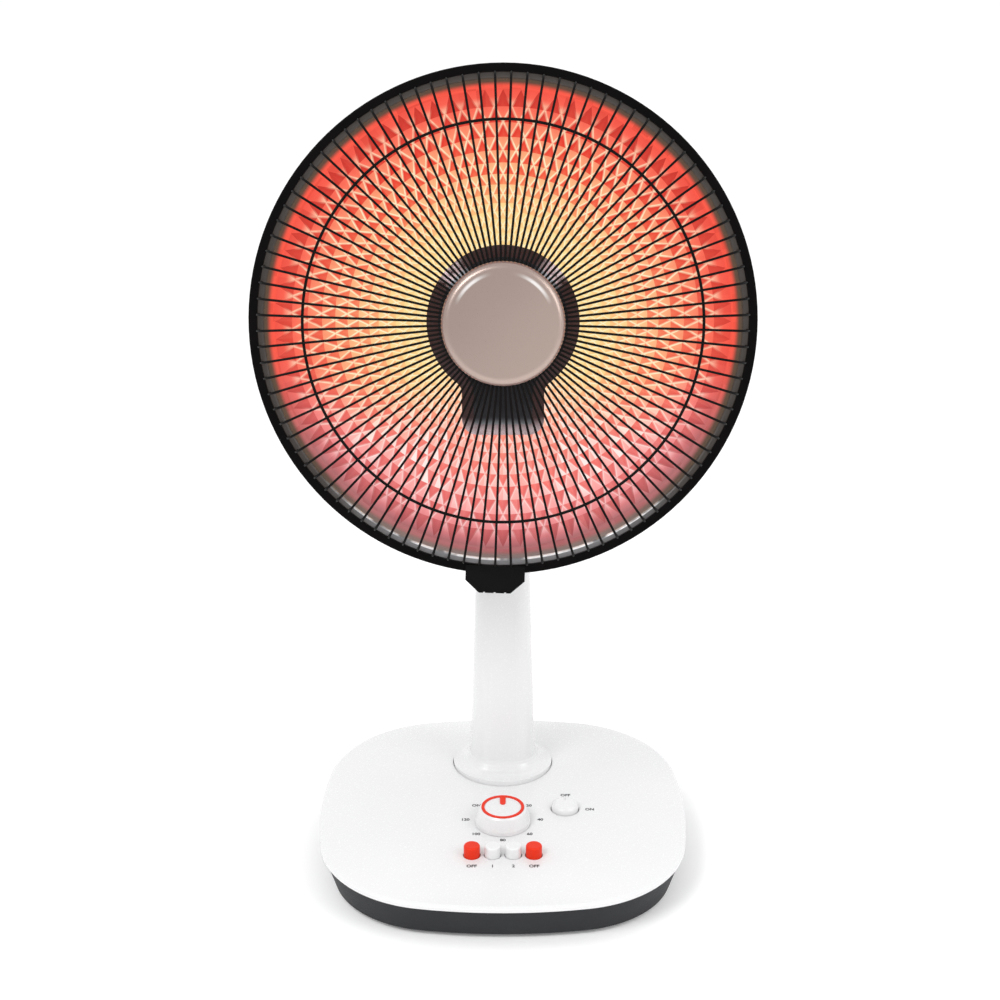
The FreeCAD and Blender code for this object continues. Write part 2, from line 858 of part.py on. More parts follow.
def tilt_nut_body():
    corners = []
    for index in range(nut_sides + 1):
        angle = 2 * math.pi * index / nut_sides
        corners.append(Vector(ear_outer + running_gap, swivel_y + tilt_nut_radius * math.cos(angle),
                              pivot_height + tilt_nut_radius * math.sin(angle)))
    prism = Part.Face(Part.makePolygon(corners)).extrude(Vector(tilt_nut, 0, 0))
    return prism.cut(rod_x(tilt_bolt_radius + screw_clearance, 0, 2 * ear_outer, swivel_y, pivot_height))


def friction_washers():
    washers = []
    for low in (-lug_width / 2 - running_gap - washer_thickness, lug_width / 2 + running_gap):
        washer = rod_x(washer_radius, low, low + washer_thickness, swivel_y, pivot_height)
        washers.append(washer.cut(
            rod_x(tilt_bolt_radius + shaft_clearance, -ear_outer, ear_outer, swivel_y, pivot_height)))
    return Part.makeCompound(washers)


def tilt_lug():
    half = lug_width / 2
    low = -pivot_drop - lug_flange_height / 2
    flange = box(-lug_flange_width / 2, lug_flange_width / 2, rear_depth, rear_depth + lug_flange,
                 low, low + lug_flange_height)
    web = box(-half, half, rear_depth, pivot_back, -pivot_drop - lug_radius, -pivot_drop + lug_radius)
    eye = rod_x(lug_radius, -half, half, pivot_back, -pivot_drop)
    cuts = [rod_x(tilt_bolt_radius + shaft_clearance, -half, half, pivot_back, -pivot_drop)]
    for x, z in lug_screw_spots:
        cuts.append(rod_y(screw_radius + screw_clearance, rear_depth, rear_depth + lug_flange, x, z))
    return joined([flange, web, eye]).cut(cuts)


def head_screws():
    lug_length = lug_flange + rear_shell_wall + backing_thickness
    box_length = rear_box_flange + rear_shell_wall
    screws = []
    for x, z in lug_screw_spots:
        screws.append(screw_front(screw_radius, lug_length, screw_head_radius, screw_head,
                                  x, z, rear_depth + lug_flange))
    for x, z in rear_box_screw_spots:
        screws.append(screw_front(screw_radius, box_length, screw_head_radius, screw_head,
                                  x, z, rear_depth + rear_box_flange))
    return Part.makeCompound(screws)


# Back of the head

def ball_point(centre, radius, ring):
    """The point of a ball centred on the head's axis at a distance from that axis."""
    return Vector(ring, centre + math.sqrt(radius ** 2 - ring ** 2), 0)


def rear_ball(wall):
    rim = hoop_inner - rim_play
    top = rear_depth - wall
    ring = rim - wall
    flat = rear_flat_radius
    centre = (ring ** 2 + rear_band ** 2 - flat ** 2 - top ** 2) / (2 * (rear_band - top))
    return centre, math.hypot(ring, rear_band - centre), ring


def rear_form(wall, low):
    """The space that the rear shell fills, or its hollow when given a wall."""
    centre, radius, ring = rear_ball(wall)
    top = rear_depth - wall
    start = Vector(ring, rear_band, 0)
    end = Vector(rear_flat_radius, top, 0)
    middle = ball_point(centre, radius, (ring + rear_flat_radius) / 2)
    return turned_y([
        line(Vector(0, low, 0), Vector(ring, low, 0)),
        line(Vector(ring, low, 0), start),
        Part.Arc(start, middle, end).toShape(),
        line(end, Vector(0, top, 0)),
        line(Vector(0, top, 0), Vector(0, low, 0)),
    ])


def rear_shell():
    flange = rod_y(flange_radius, shell_flange_y, shell_flange_y + rear_shell_wall)
    shell = joined([rear_form(0.0, shell_flange_y), flange])
    shell = shell.cut(rear_form(rear_shell_wall, -rear_depth))
    vent = box(vent_inner, vent_outer, hoop_back, rear_depth, -vent_width / 2, vent_width / 2)
    ends = [rod_y(vent_width / 2, hoop_back, rear_depth, x) for x in (vent_inner, vent_outer)]
    cuts = around_y(joined([vent] + ends), vent_count, 180.0 / vent_count)
    for x, z in lug_screw_spots + rear_box_screw_spots:
        cuts.append(rod_y(screw_radius + screw_clearance, 0, rear_depth, x, z))
    for x in (-lamp_leg_x, lamp_leg_x):
        cuts.append(rod_y(lead_hole_radius, 0, rear_depth, x, lead_top))
    cuts.append(rod_y(stay_radius + screw_clearance, 0, rear_depth))
    return shell.cut(cuts)


def backing_plate():
    top = rear_depth - rear_shell_wall
    low = -pivot_drop - lug_flange_height / 2
    plate = box(-lug_flange_width / 2, lug_flange_width / 2, top - backing_thickness, top,
                low, low + lug_flange_height)
    holes = [rod_y(screw_radius + screw_clearance, 0, rear_depth, x, z) for x, z in lug_screw_spots]
    return plate.cut(holes)


def rear_box():
    flange = rod_y(rear_box_flange_radius, rear_depth, rear_depth + rear_box_flange)
    cup = rod_y(rear_box_radius, rear_depth, rear_depth + rear_box_depth)
    back_edges = [edge for edge in cup.Edges if edge.CenterOfMass.y > rear_depth + rear_box_depth - seat_gap]
    cup = cup.makeFillet(2 * rear_box_wall, back_edges)
    hollow = rod_y(rear_box_radius - rear_box_wall, rear_depth, rear_depth + rear_box_depth - rear_box_wall)
    cuts = [hollow]
    for x, z in rear_box_screw_spots:
        cuts.append(rod_y(screw_radius + screw_clearance, rear_depth, rear_depth + rear_box_flange, x, z))
    return joined([flange, cup]).cut(cuts)


def thermal_cutout():
    puck_back = rear_depth + cutout_height
    puck = rod_y(cutout_radius, rear_depth, puck_back, 0, cutout_rise)
    tabs = []
    for x in (-cutout_radius / 2, cutout_radius / 2):
        tabs.append(box(x - stud_radius, x + stud_radius, puck_back, puck_back + cutout_height,
                        cutout_rise - seat_gap, cutout_rise + rear_box_wall / 2))
    return joined([puck] + tabs)


# Reflector

def dish_form(thickness):
    """The space in front of the reflector, or behind it when given its thickness."""
    radius = dish_sphere + thickness
    rim = dish_rim_radius + thickness
    bowl = ball_point(dish_centre, dish_sphere, dish_bowl_radius)
    shift = radius / dish_sphere
    start = Vector(bowl.x * shift, dish_centre + (bowl.y - dish_centre) * shift, 0)
    end = Vector(0, dish_centre + radius, 0)
    middle = ball_point(dish_centre, radius, start.x / 2)
    low = dish_flange_y
    return turned_y([
        line(Vector(0, low, 0), Vector(rim, low, 0)),
        line(Vector(rim, low, 0), start),
        Part.Arc(start, middle, end).toShape(),
        line(end, Vector(0, low, 0)),
    ])


def dish():
    flange = rod_y(flange_radius, dish_flange_y, dish_flange_y + dish_thickness)
    form = joined([dish_form(dish_thickness), flange]).cut(dish_form(0.0))
    cuts = [rod_y(stay_radius + screw_clearance, 0, rear_depth)]
    for x in (-lamp_leg_x, lamp_leg_x):
        cuts.append(rod_y(bush_radius + screw_clearance, 0, rear_depth, x, lead_z))
    return form.cut(cuts)


def dish_spacer():
    end = rear_depth - rear_shell_wall
    start = dish_depth + dish_thickness + stack_gap
    return tube_y(stay_collar_radius, stay_radius + screw_clearance, start, end)


# Carbon lamp

def lamp_path(leg_end):
    """Middle line of the lamp: up one leg, round the loop and down the other leg."""
    bend_x = lamp_leg_x + lamp_bend
    bend_z = -math.sqrt((lamp_loop_radius + lamp_bend) ** 2 - bend_x ** 2)
    share = lamp_loop_radius / (lamp_loop_radius + lamp_bend)
    meet = Vector(bend_x * share, lamp_y, bend_z * share)
    turn = math.atan2(meet.z - bend_z, meet.x - bend_x)
    half = (turn + math.pi) / 2
    knee = Vector(bend_x + lamp_bend * math.cos(half), lamp_y, bend_z + lamp_bend * math.sin(half))
    foot = Vector(lamp_leg_x, lamp_y, leg_end)
    neck = Vector(lamp_leg_x, lamp_y, bend_z)
    crown = Vector(0, lamp_y, lamp_loop_radius)
    other = [Vector(-point.x, point.y, point.z) for point in (meet, knee, neck, foot)]
    return Part.Wire([
        line(foot, neck),
        Part.Arc(neck, knee, meet).toShape(),
        Part.Arc(meet, crown, other[0]).toShape(),
        Part.Arc(other[0], other[1], other[2]).toShape(),
        line(other[2], other[3]),
    ])


def lamp_pipe(radius, leg_end):
    circle = Part.makeCircle(radius, Vector(lamp_leg_x, lamp_y, leg_end), Vector(0, 0, 1))
    return lamp_path(leg_end).makePipeShell([Part.Wire(circle)], True, False)


def lamp_tube():
    return lamp_pipe(lamp_tube_radius, lamp_leg_end).cut(
        lamp_pipe(lamp_tube_radius - lamp_tube_wall, lamp_leg_end))


def filament():
    return lamp_pipe(filament_radius, lamp_leg_end - socket_floor)


def lamp_sockets():
    top = lamp_leg_end + socket_grip
    sockets = []
    for x in (-lamp_leg_x, lamp_leg_x):
        body = rod_z(socket_radius, top - socket_length, top, x, lamp_y)
        mouth = rod_z(lamp_tube_radius + screw_clearance, lamp_leg_end, top, x, lamp_y)
        well = rod_z(filament_radius + screw_clearance, lamp_leg_end - socket_floor, lamp_leg_end, x, lamp_y)
        lead = rod_y(lead_radius + screw_clearance, lamp_y, rear_depth, x, lead_z)
        sockets.append(body.cut([mouth, well, lead]))
    return Part.makeCompound(sockets)


def lamp_bracket():
    """A plate behind the sockets on a leg that stands on the dish."""
    front = lamp_y + socket_radius + seat_gap
    back = front + bracket_thickness
    middle = lamp_leg_end
    plate = box(-bracket_half_width, bracket_half_width, front, back, middle - socket_grip / 2 + socket_floor,
                middle + socket_grip)
    leg = box(-bracket_leg_half_width, bracket_leg_half_width, back, rear_depth,
              middle - bracket_leg_height / 2, middle + bracket_leg_height / 2)
    ball = Part.makeSphere(dish_sphere - stack_gap, Vector(0, dish_centre, 0))
    hole = rod_y(stud_radius + screw_clearance, 0, back + socket_radius, 0, clamp_z)
    return joined([plate, leg.common(ball)]).cut(hole)


def lamp_clamp():
    front = lamp_y - socket_radius - seat_gap
    strap = box(-bracket_half_width, bracket_half_width, front - bracket_thickness, front,
                clamp_z - socket_grip / 4, clamp_z + socket_grip / 4)
    return strap.cut(rod_y(stud_radius + screw_clearance, -shield_depth, lamp_y, 0, clamp_z))


def lead_bushes():
    ring = math.hypot(lamp_leg_x, lead_z)
    seat = ball_point(dish_centre, dish_sphere, ring).y
    front = seat - bush_length / 2
    back = seat + bush_length / 2
    return Part.makeCompound([
        tube_y(bush_radius, lead_radius + screw_clearance, front, back, x, lead_z)
        for x in (-lamp_leg_x, lamp_leg_x)])


def lamp_leads():
    leads = []
    for x in (-lamp_leg_x, lamp_leg_x):
        half = lead_bend * math.sqrt(0.5)
        start = Vector(x, lamp_y, lead_z)
        low_bend = Vector(x, lead_y - lead_bend + half, lead_z + lead_bend - half)
        high_bend = Vector(x, lead_y + lead_bend - half, lead_top - lead_bend + half)
        turns = [
            Vector(x, lead_y - lead_bend, lead_z),
            Vector(x, lead_y, lead_z + lead_bend),
            Vector(x, lead_y, lead_top - lead_bend),
            Vector(x, lead_y + lead_bend, lead_top),
        ]
        path = Part.Wire([
            line(start, turns[0]),
            Part.Arc(turns[0], low_bend, turns[1]).toShape(),
            line(turns[1], turns[2]),
            Part.Arc(turns[2], high_bend, turns[3]).toShape(),
            line(turns[3], Vector(x, lead_end, lead_top)),
        ])
        circle = Part.makeCircle(lead_radius, start, Vector(0, 1, 0))
        leads.append(path.makePipeShell([Part.Wire(circle)], True, False))
    return Part.makeCompound(leads)


# Shield

def shield_outline(inset, y):
    """Keyhole outline: a disc with a neck that hangs down, shrunk by an inset."""
    radius = shield_radius - inset
    neck = shield_neck_half_width - inset
    foot = shield_neck_end + inset
    corner = shield_corner - inset
    throat = shield_throat + inset
    bend_x = neck + throat
    bend_z = -math.sqrt((radius + throat) ** 2 - bend_x ** 2)
    share = radius / (radius + throat)
    meet = Vector(bend_x * share, y, bend_z * share)
    half = (math.atan2(meet.z - bend_z, meet.x - bend_x) + math.pi) / 2
    knee = Vector(bend_x + throat * math.cos(half), y, bend_z + throat * math.sin(half))
    neck_top = Vector(neck, y, bend_z)
    neck_low = Vector(neck, y, foot + corner)
    turn = corner * (1 - math.sqrt(0.5))
    elbow = Vector(neck - turn, y, foot + turn)
    heel = Vector(neck - corner, y, foot)
    mirror = [Vector(-p.x, p.y, p.z) for p in (meet, knee, neck_top, neck_low, elbow, heel)]
    return Part.Wire([
        Part.Arc(meet, Vector(0, y, radius), mirror[0]).toShape(),
        Part.Arc(mirror[0], mirror[1], mirror[2]).toShape(),
        line(mirror[2], mirror[3]),
        Part.Arc(mirror[3], mirror[4], mirror[5]).toShape(),
        line(mirror[5], heel),
        Part.Arc(heel, elbow, neck_low).toShape(),
        line(neck_low, neck_top),
        Part.Arc(neck_top, knee, meet).toShape(),
    ])


def shield_form(wall):
    front = shield_outline(shield_bevel + wall / 2, wall - shield_front)
    back = shield_outline(wall, shield_depth - shield_front)
    return Part.makeLoft([front, back], True, True)


def shield():
    hollow = shield_form(shield_thickness)
    sheet = shield_form(0.0).cut(hollow)
    return sheet.cut(rod_y(stay_radius + screw_clearance, -shield_depth, 0))


def shield_stays():
    """A long bolt through the middle of the dish and a stud between the sockets."""
    nut_end = rear_depth + stay_nut
    stud_start = -shield_front + shield_thickness
    bolt = joined([
        rod_y(stay_radius, -shield_front, nut_end),
        rod_y(stay_head_radius, -shield_front - stay_head, -shield_front),
        rod_y(stay_head_radius, stud_start, stud_start + stay_head),
        rod_y(stay_collar_radius, dish_depth - stack_gap - stay_head, dish_depth - stack_gap),
        rod_y(stay_head_radius, rear_depth, nut_end),
    ])
    stud = rod_y(stud_radius, stud_start, lamp_y + socket_radius + bracket_thickness, 0, clamp_z)
    return Part.makeCompound([bolt, stud])


# Rim, guard and hub

def trim_hoop():
    band = rod_y(hoop_radius, hoop_front - hoop_lip, hoop_back + hoop_lip)
    edges = [edge for edge in band.Edges if len(edge.Vertexes) == 1]
    band = band.makeFillet(hoop_lip / 2, edges)
    channel = rod_y(channel_radius, hoop_front, hoop_back)
    opening = rod_y(hoop_inner, -hoop_radius, hoop_radius)
    back_opening = rod_y(hoop_inner + rim_play, hoop_back, hoop_radius)
    split = box(-hoop_split / 2, hoop_split / 2, -hoop_radius, hoop_radius,
                -2 * hoop_radius, -hoop_inner + hoop_band)
    split.rotate(Vector(0, 0, 0), Vector(0, 1, 0), clasp_turn)
    return band.cut([channel, opening, back_opening, split])


def hoop_clasp():
    top = -hoop_inner
    bottom = -hoop_radius - clasp_drop
    shoulder = -hoop_radius - clasp_side
    half = clasp_width / 2
    foot = clasp_foot_width / 2
    front = hoop_front - hoop_lip - clasp_grip
    depth = hoop_back + hoop_lip + clasp_grip - front
    corners = [
        (-half, top), (half, top), (half, shoulder), (foot, bottom), (-foot, bottom), (-half, shoulder)]
    points = [Vector(x, front, z) for x, z in corners]
    block = Part.Face(Part.makePolygon(points + points[:1])).extrude(Vector(0, depth, 0))
    hoop_space = rod_y(hoop_radius + stack_gap, hoop_front - hoop_lip - stack_gap,
                       hoop_back + hoop_lip + stack_gap)
    opening = rod_y(hoop_inner - stack_gap, -hoop_radius, hoop_radius)
    cuts = [hoop_space, opening]
    for index in (-1, 0, 1):
        x = index * clasp_foot_width / 3
        cuts.append(box(x - clasp_notch / 2, x + clasp_notch / 2, -hoop_radius, hoop_radius,
                        bottom - clasp_notch, bottom + clasp_notch / 2))
    cuts.append(rod_y(clasp_screw_radius + screw_clearance, front + clasp_grip - seat_gap, hoop_radius, 0,
                      -hoop_radius - clasp_screw_drop))
    return turned_clasp(block.cut(cuts))


def turned_clasp(shape):
    shape.rotate(Vector(0, 0, 0), Vector(0, 1, 0), clasp_turn)
    return shape


def clasp_screw():
    z = -hoop_radius - clasp_screw_drop
    back = hoop_back + hoop_lip + clasp_grip
    length = back - (hoop_front - hoop_lip)
    screw = screw_front(clasp_screw_radius, length, clasp_screw_head_radius, clasp_grip, 0, z, back)
    return turned_clasp(screw)


def wire_slope():
    return math.atan2(guard_front - guard_shoulder, wire_end_radius - wire_start)


def guard_wire():
    """One radial wire: out from the hub, round a bend and back to the rim."""
    slope = wire_slope()
    start = Vector(wire_start, -guard_front, 0)
    turn = math.pi / 2 - slope
    tangent = guard_bend * math.tan(turn / 2)
    corner = Vector(wire_end_radius, -guard_shoulder, 0)
    bend_start = corner - Vector(math.cos(slope), math.sin(slope), 0) * tangent
    bend_end = corner + Vector(0, tangent, 0)
    centre = bend_end - Vector(guard_bend, 0, 0)
    half = -turn / 2
    middle = centre + Vector(math.cos(half), math.sin(half), 0) * guard_bend
    path = Part.Wire([
        line(start, bend_start),
        Part.Arc(bend_start, middle, bend_end).toShape(),
        line(bend_end, Vector(wire_end_radius, rim_wire_y + rim_wire_radius - stack_gap, 0)),
    ])
    circle = Part.makeCircle(wire_radius, start, Vector(math.cos(slope), math.sin(slope), 0))
    return path.makePipeShell([Part.Wire(circle)], True, False)


def wire_y(ring):
    """Height of the wires' middle line over the rim plane at a distance from the axis."""
    return -guard_front + (ring - wire_start) * math.tan(wire_slope())


def guard_wires():
    middle_y = wire_y(middle_hoop_radius) + wire_radius + middle_hoop_wire - middle_hoop_weld
    hoop = Part.makeTorus(middle_hoop_radius, middle_hoop_wire, Vector(0, middle_y, 0), Vector(0, 1, 0))
    return hoop.fuse(around_y(guard_wire(), wire_count, 180.0 / wire_count))


def guard_rim():
    return Part.makeTorus(rim_wire_ring, rim_wire_radius, Vector(0, rim_wire_y, 0), Vector(0, 1, 0))


def rounded_front(shape, radius, front):
    return shape.makeFillet(radius, [edge for edge in shape.Edges if edge.CenterOfMass.y < front + seat_gap])


def hub_cap():
    back = -guard_front - wire_radius - stack_gap
    front = back - hub_depth
    cap = rounded_front(rod_y(hub_radius, front, back), hub_round, front)
    inner_front = front + hub_wall
    hollow = rod_y(hub_radius - hub_wall, inner_front, back)
    hollow = rounded_front(hollow, hub_round - hub_wall, inner_front)
    bosses = [rod_y(hub_boss_radius, inner_front, hub_plate_front, x, z) for x, z in hub_screw_spots]
    holes = [rod_y(screw_radius + screw_clearance, hub_plate_front - hub_screw_length - seat_gap, 0, x, z)
             for x, z in hub_screw_spots]
    return joined([cap.cut(hollow)] + bosses).cut(holes)


def hub_plate_disc():
    disc = rod_y(hub_plate_radius, hub_plate_front, hub_plate_front + hub_plate)
    return disc.cut([rod_y(screw_radius + screw_clearance, -hub_radius, 0, x, z) for x, z in hub_screw_spots])


def hub_screws():
    return Part.makeCompound([
        screw_front(screw_radius, hub_plate + hub_screw_length, screw_head_radius, screw_head, x, z,
                    hub_plate_front + hub_plate)
        for x, z in hub_screw_spots])


# Controls, in the frame of the deck

def timer():
    half = timer_width / 2
    body = box(-half, half, knob_y - timer_depth / 2, knob_y + timer_depth / 2,
               deck_underside - timer_height, deck_underside)
    neck = rod_z(timer_neck_radius, deck_underside, deck_top, 0, knob_y)
    bore = rod_z(knob_shaft_radius + shaft_clearance, deck_underside - knob_shaft_below - seat_gap, deck_top,
                 0, knob_y)
    cuts = [bore]
    for x in timer_screw_spots:
        screw_end = deck_top - inner_screw_length - seat_gap
        cuts.append(rod_z(inner_screw_radius + screw_clearance, screw_end, deck_top, x, knob_y))
    return joined([body, neck]).cut(cuts)


def timer_knob():
    low = deck_top + knob_gap
    top = low + knob_height
    profile = [
        (0, low), (knob_foot_radius, low), (knob_foot_radius, low + knob_foot),
        (knob_top_radius, top - knob_edge), (knob_top_radius - knob_edge, top), (0, top),
    ]
    body = turned_z(profile)
    hollow = rod_z(knob_foot_radius - knob_rim, low, low + knob_hollow)
    hollow = hollow.cut(rod_z(knob_hub_radius, low, low + knob_hollow))
    seat = top - knob_ring_seat
    groove = rod_z(knob_ring_outer + screw_clearance, seat, top)
    groove = groove.cut(rod_z(knob_ring_inner - screw_clearance, seat, top))
    shaft = rod_z(knob_shaft_radius + screw_clearance, low, low + knob_shaft_grip)
    return moved(body.cut([hollow, groove, shaft, pointer(screw_clearance, seat, top)]), 0, knob_y)


def pointer(spare, low, high):
    """The bar that runs in from the ring at twelve o'clock, with a round inner end."""
    half = pointer_width / 2 + spare
    bar = box(-half, half, pointer_reach, (knob_ring_inner + knob_ring_outer) / 2, low, high)
    return bar.fuse(rod_z(half, low, high, 0, pointer_reach)).removeSplitter()


def knob_ring():
    top = deck_top + knob_gap + knob_height
    low = top - knob_ring_seat
    high = top + knob_ring_stand
    ring = rod_z(knob_ring_outer, low, high).cut(rod_z(knob_ring_inner, low, high))
    return moved(joined([ring, pointer(0.0, low, high)]), 0, knob_y)


def timer_shaft():
    return rod_z(knob_shaft_radius, deck_underside - knob_shaft_below, deck_top + knob_gap + knob_shaft_grip,
                 0, knob_y)


def selector_switch():
    half = selector_body / 2
    top = deck_top - selector_drop - selector_skirt
    body = box(-half, half, -half, half, top - selector_body_height, top)
    reach = selector_ear_reach + ear_width / 2
    ears = box(-reach, reach, -ear_width / 2, ear_width / 2, top - ear_plate, top)
    cuts = [rod_z(selector_shaft_radius + shaft_clearance, top - selector_shaft_length - seat_gap, top)]
    for x in (-selector_ear_reach, selector_ear_reach):
        cuts.append(rod_z(inner_screw_radius + screw_clearance, top - ear_plate, top, x))
    return moved(joined([body, ears]).cut(cuts), selector_x, selector_y)


def selector_knob():
    low = deck_top - selector_drop
    high = deck_top + selector_stand
    cap = rod_z(selector_radius, low, high)
    cap = cap.makeFillet(selector_edge, [edge for edge in cap.Edges if edge.CenterOfMass.z > high - seat_gap])
    mark = box(-selector_gap, selector_gap, selector_radius / 3, selector_radius, high - selector_gap, high)
    shaft = rod_z(selector_shaft_radius, low - selector_skirt - selector_shaft_length, low)
    return moved(joined([cap.cut(mark), shaft]), selector_x, selector_y)


def key_switch():
    half = button_reach + switch_margin
    top = deck_top - switch_drop
    body = box(-half, half, button_y - switch_depth / 2, button_y + switch_depth / 2,
               top - switch_height, top)
    reach = half + switch_ear_reach + ear_width / 2
    ears = box(-reach, reach, button_y - ear_width / 2, button_y + ear_width / 2, top - ear_plate, top)
    depth = button_stem_length + button_travel + seat_gap
    cuts = [rod_z(button_stem_radius + shaft_clearance, top - depth, top, x, button_y) for x in button_spots]
    for x in switch_ear_spots:
        cuts.append(rod_z(inner_screw_radius + screw_clearance, top - ear_plate, top, x, button_y))
    return joined([body, ears]).cut(cuts)


def push_button(x):
    low = deck_top - button_skirt
    high = deck_top + button_stand
    cap = rod_z(button_radius, low, high)
    cap = cap.makeFillet(button_crown, [edge for edge in cap.Edges if edge.CenterOfMass.z > high - seat_gap])
    stem = rod_z(button_stem_radius, deck_top - switch_drop - button_stem_length, low)
    return moved(joined([cap, stem]), x, button_y)


def inner_screws():
    """Small screws that hold the timer, the two switches and the motor."""
    size = (inner_screw_radius, inner_screw_length, inner_screw_head_radius, inner_screw_head)
    screws = [on_deck(screw_z(*size, x, knob_y, deck_top)) for x in timer_screw_spots]
    for x, y, drop in inner_boss_spots:
        screws.append(on_deck(screw_up(*size, x, y, deck_top - drop - ear_plate)))
    for x in motor_ear_spots:
        screws.append(screw_z(*size, x, crank_y, motor_bottom + motor_ear))
    return Part.makeCompound(screws)


# Tip-over switch

def tip_plunger():
    collar_low = floor_top + plunger_travel + plunger_stop_gap
    foot = rod_z(plunger_radius, 0, collar_low, 0, tip_y)
    collar = rod_z(plunger_collar_radius, collar_low, collar_low + plunger_collar, 0, tip_y)
    stem = rod_z(plunger_stem_radius, collar_low, tip_stem_top, 0, tip_y)
    return joined([foot, collar, stem])


def tip_switch():
    side = tip_body_width / 2
    front = tip_y - tip_body_depth / 2
    back = tip_y + tip_body_depth / 2
    body = box(-side, side, front, back, tip_body_low, tip_body_low + tip_body_height)
    legs = [box(x, x + tip_leg, front, back, floor_top, tip_body_low) for x in (-side, side - tip_leg)]
    bore = rod_z(plunger_stem_radius + shaft_clearance, tip_body_low, tip_stem_top + seat_gap, 0, tip_y)
    return joined([body] + legs).cut(bore)


# Places that several pieces share
base_screw_seat = foot_height + base_screw_head
motor_ear_spots = [-motor_ear_reach, motor_ear_reach]
inlet_rise = (inlet_height - inlet_flange_radius - foot_height) / (seam_height_back - foot_height)
inlet_face = base_depth / 2 - skirt_inset + inlet_rise * (skirt_inset - cover_overhang) - inlet_recess
deck_high = deck_top + shell_wall
timer_screw_spots = [-timer_screw_x, timer_screw_x]
button_reach = button_pitch * (len(button_names) - 1) / 2
button_spots = [index * button_pitch - button_reach for index in range(len(button_names))]
switch_ear = button_reach + switch_margin + switch_ear_reach
switch_ear_spots = [-switch_ear, switch_ear]
selector_ear_spots = [selector_x - selector_ear_reach, selector_x + selector_ear_reach]
inner_boss_spots = [(x, button_y, switch_drop) for x in switch_ear_spots]
inner_boss_spots += [(x, selector_y, selector_drop + selector_skirt) for x in selector_ear_spots]
drive_screw_spots = square_spots(drive_screw_circle, swivel_y)
drive_screw_length = drive_plate_thickness + (turntable_top - spigot_bottom) / 2
yoke_screw_spots = [(0.0, swivel_y - yoke_screw_y), (0.0, swivel_y + yoke_screw_y)]
post_screw_inset = rear_cover_margin + post_screw_edge
post_screw_heights = [post_foot + post_screw_inset, post_top - post_screw_inset]
lug_screw_spots = [
    (x, -pivot_drop + z) for x in (-lug_screw_x, lug_screw_x) for z in (-lug_screw_z, lug_screw_z)]
rear_box_screw_circle = rear_box_radius + screw_head_radius + screw_clearance
rear_box_flange_radius = rear_box_screw_circle + screw_radius
rear_box_screw_spots = square_spots(rear_box_screw_circle)
clamp_z = lamp_leg_end + socket_grip / 2
hub_plate_front = wire_y(hub_plate_radius) + wire_radius / math.cos(wire_slope()) + stack_gap
hub_screw_length = hub_depth / 2
hub_screw_angles = [2 * math.pi * index / hub_screw_count for index in range(hub_screw_count)]
hub_screw_spots = [
    (hub_screw_circle * math.sin(angle), hub_screw_circle * math.cos(angle)) for angle in hub_screw_angles]
tip_collar_top = floor_top + plunger_travel + plunger_stop_gap + plunger_collar
tip_body_low = tip_collar_top + plunger_stop_gap
tip_stem_top = tip_body_low + tip_body_height - tip_bore_margin

pieces = {
    "base_pan": base_pan(),
    "base_cover": base_cover(),
    "rubber_feet": rubber_feet(),
    "base_screws": base_screws(),
    "ballast_plates": ballast_plates(),
    "cord_bush": cord_bush(),
    "terminal_block": terminal_block(),
    "slide_ring": slide_ring(),
    "motor": motor(),
    "crank": crank(),
    "drive_plate": drive_plate(),
    "post_shell": post_shell(),
    "post_rear_cover": post_rear_cover(),
    "post_screws": post_screws(),
    "mast_screws": mast_screws(),
    "tilt_yoke": tilt_yoke(),
    "tilt_bolt": tilt_bolt(),
    "tilt_nut": tilt_nut_body(),
    "friction_washers": friction_washers(),
    "inner_screws": inner_screws(),
    "tip_plunger": tip_plunger(),
    "tip_switch": tip_switch(),
}

deck_pieces = {
    "timer": timer(),
    "timer_knob": timer_knob(),
    "knob_ring": knob_ring(),
    "timer_shaft": timer_shaft(),
    "selector_switch": selector_switch(),
    "selector_knob": selector_knob(),
    "key_switch": key_switch(),
}
for name, x in zip(button_names, button_spots):
    deck_pieces[name] = push_button(x)

head_pieces = {
    "tilt_lug": tilt_lug(),
    "head_screws": head_screws(),
    "rear_shell": rear_shell(),
    "backing_plate": backing_plate(),
    "rear_box": rear_box(),
    "thermal_cutout": thermal_cutout(),
    "dish": dish(),
    "dish_spacer": dish_spacer(),
    "lamp_tube": lamp_tube(),
    "filament": filament(),
    "lamp_sockets": lamp_sockets(),
    "lamp_bracket": lamp_bracket(),
    "lamp_clamp": lamp_clamp(),
    "lead_bushes": lead_bushes(),
    "lamp_leads": lamp_leads(),
    "shield": shield(),
    "shield_stays": shield_stays(),
    "trim_hoop": trim_hoop(),
    "hoop_clasp": hoop_clasp(),
    "clasp_screw": clasp_screw(),
    "guard_wires": guard_wires(),
    "guard_rim": guard_rim(),
    "hub_cap": hub_cap(),
    "hub_plate": hub_plate_disc(),
    "hub_screws": hub_screws(),
}

for name, shape in deck_pieces.items():
    pieces[name] = on_deck(shape)
for name, shape in head_pieces.items():
    pieces[name] = placed(shape, head_place)

os.makedirs("parts", exist_ok=True)
for name, shape in pieces.items():
    shape.exportStep("parts/" + name + ".step")
    print(name, len(shape.Solids), "valid" if shape.isValid() else "invalid", round(shape.Volume))
print("deck slope", round(deck_slope, 4), "turntable radius", round(turntable_radius, 3))
print("turntable top", round(turntable_top, 3), "pivot height", round(pivot_height, 3))
print("crank throw", round(crank_throw, 3), "rim centre", head_place.Base)
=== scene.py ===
import json
import math
import random

import bmesh
import bpy
from mathutils import Matrix, Vector
from mathutils.bvhtree import BVHTree


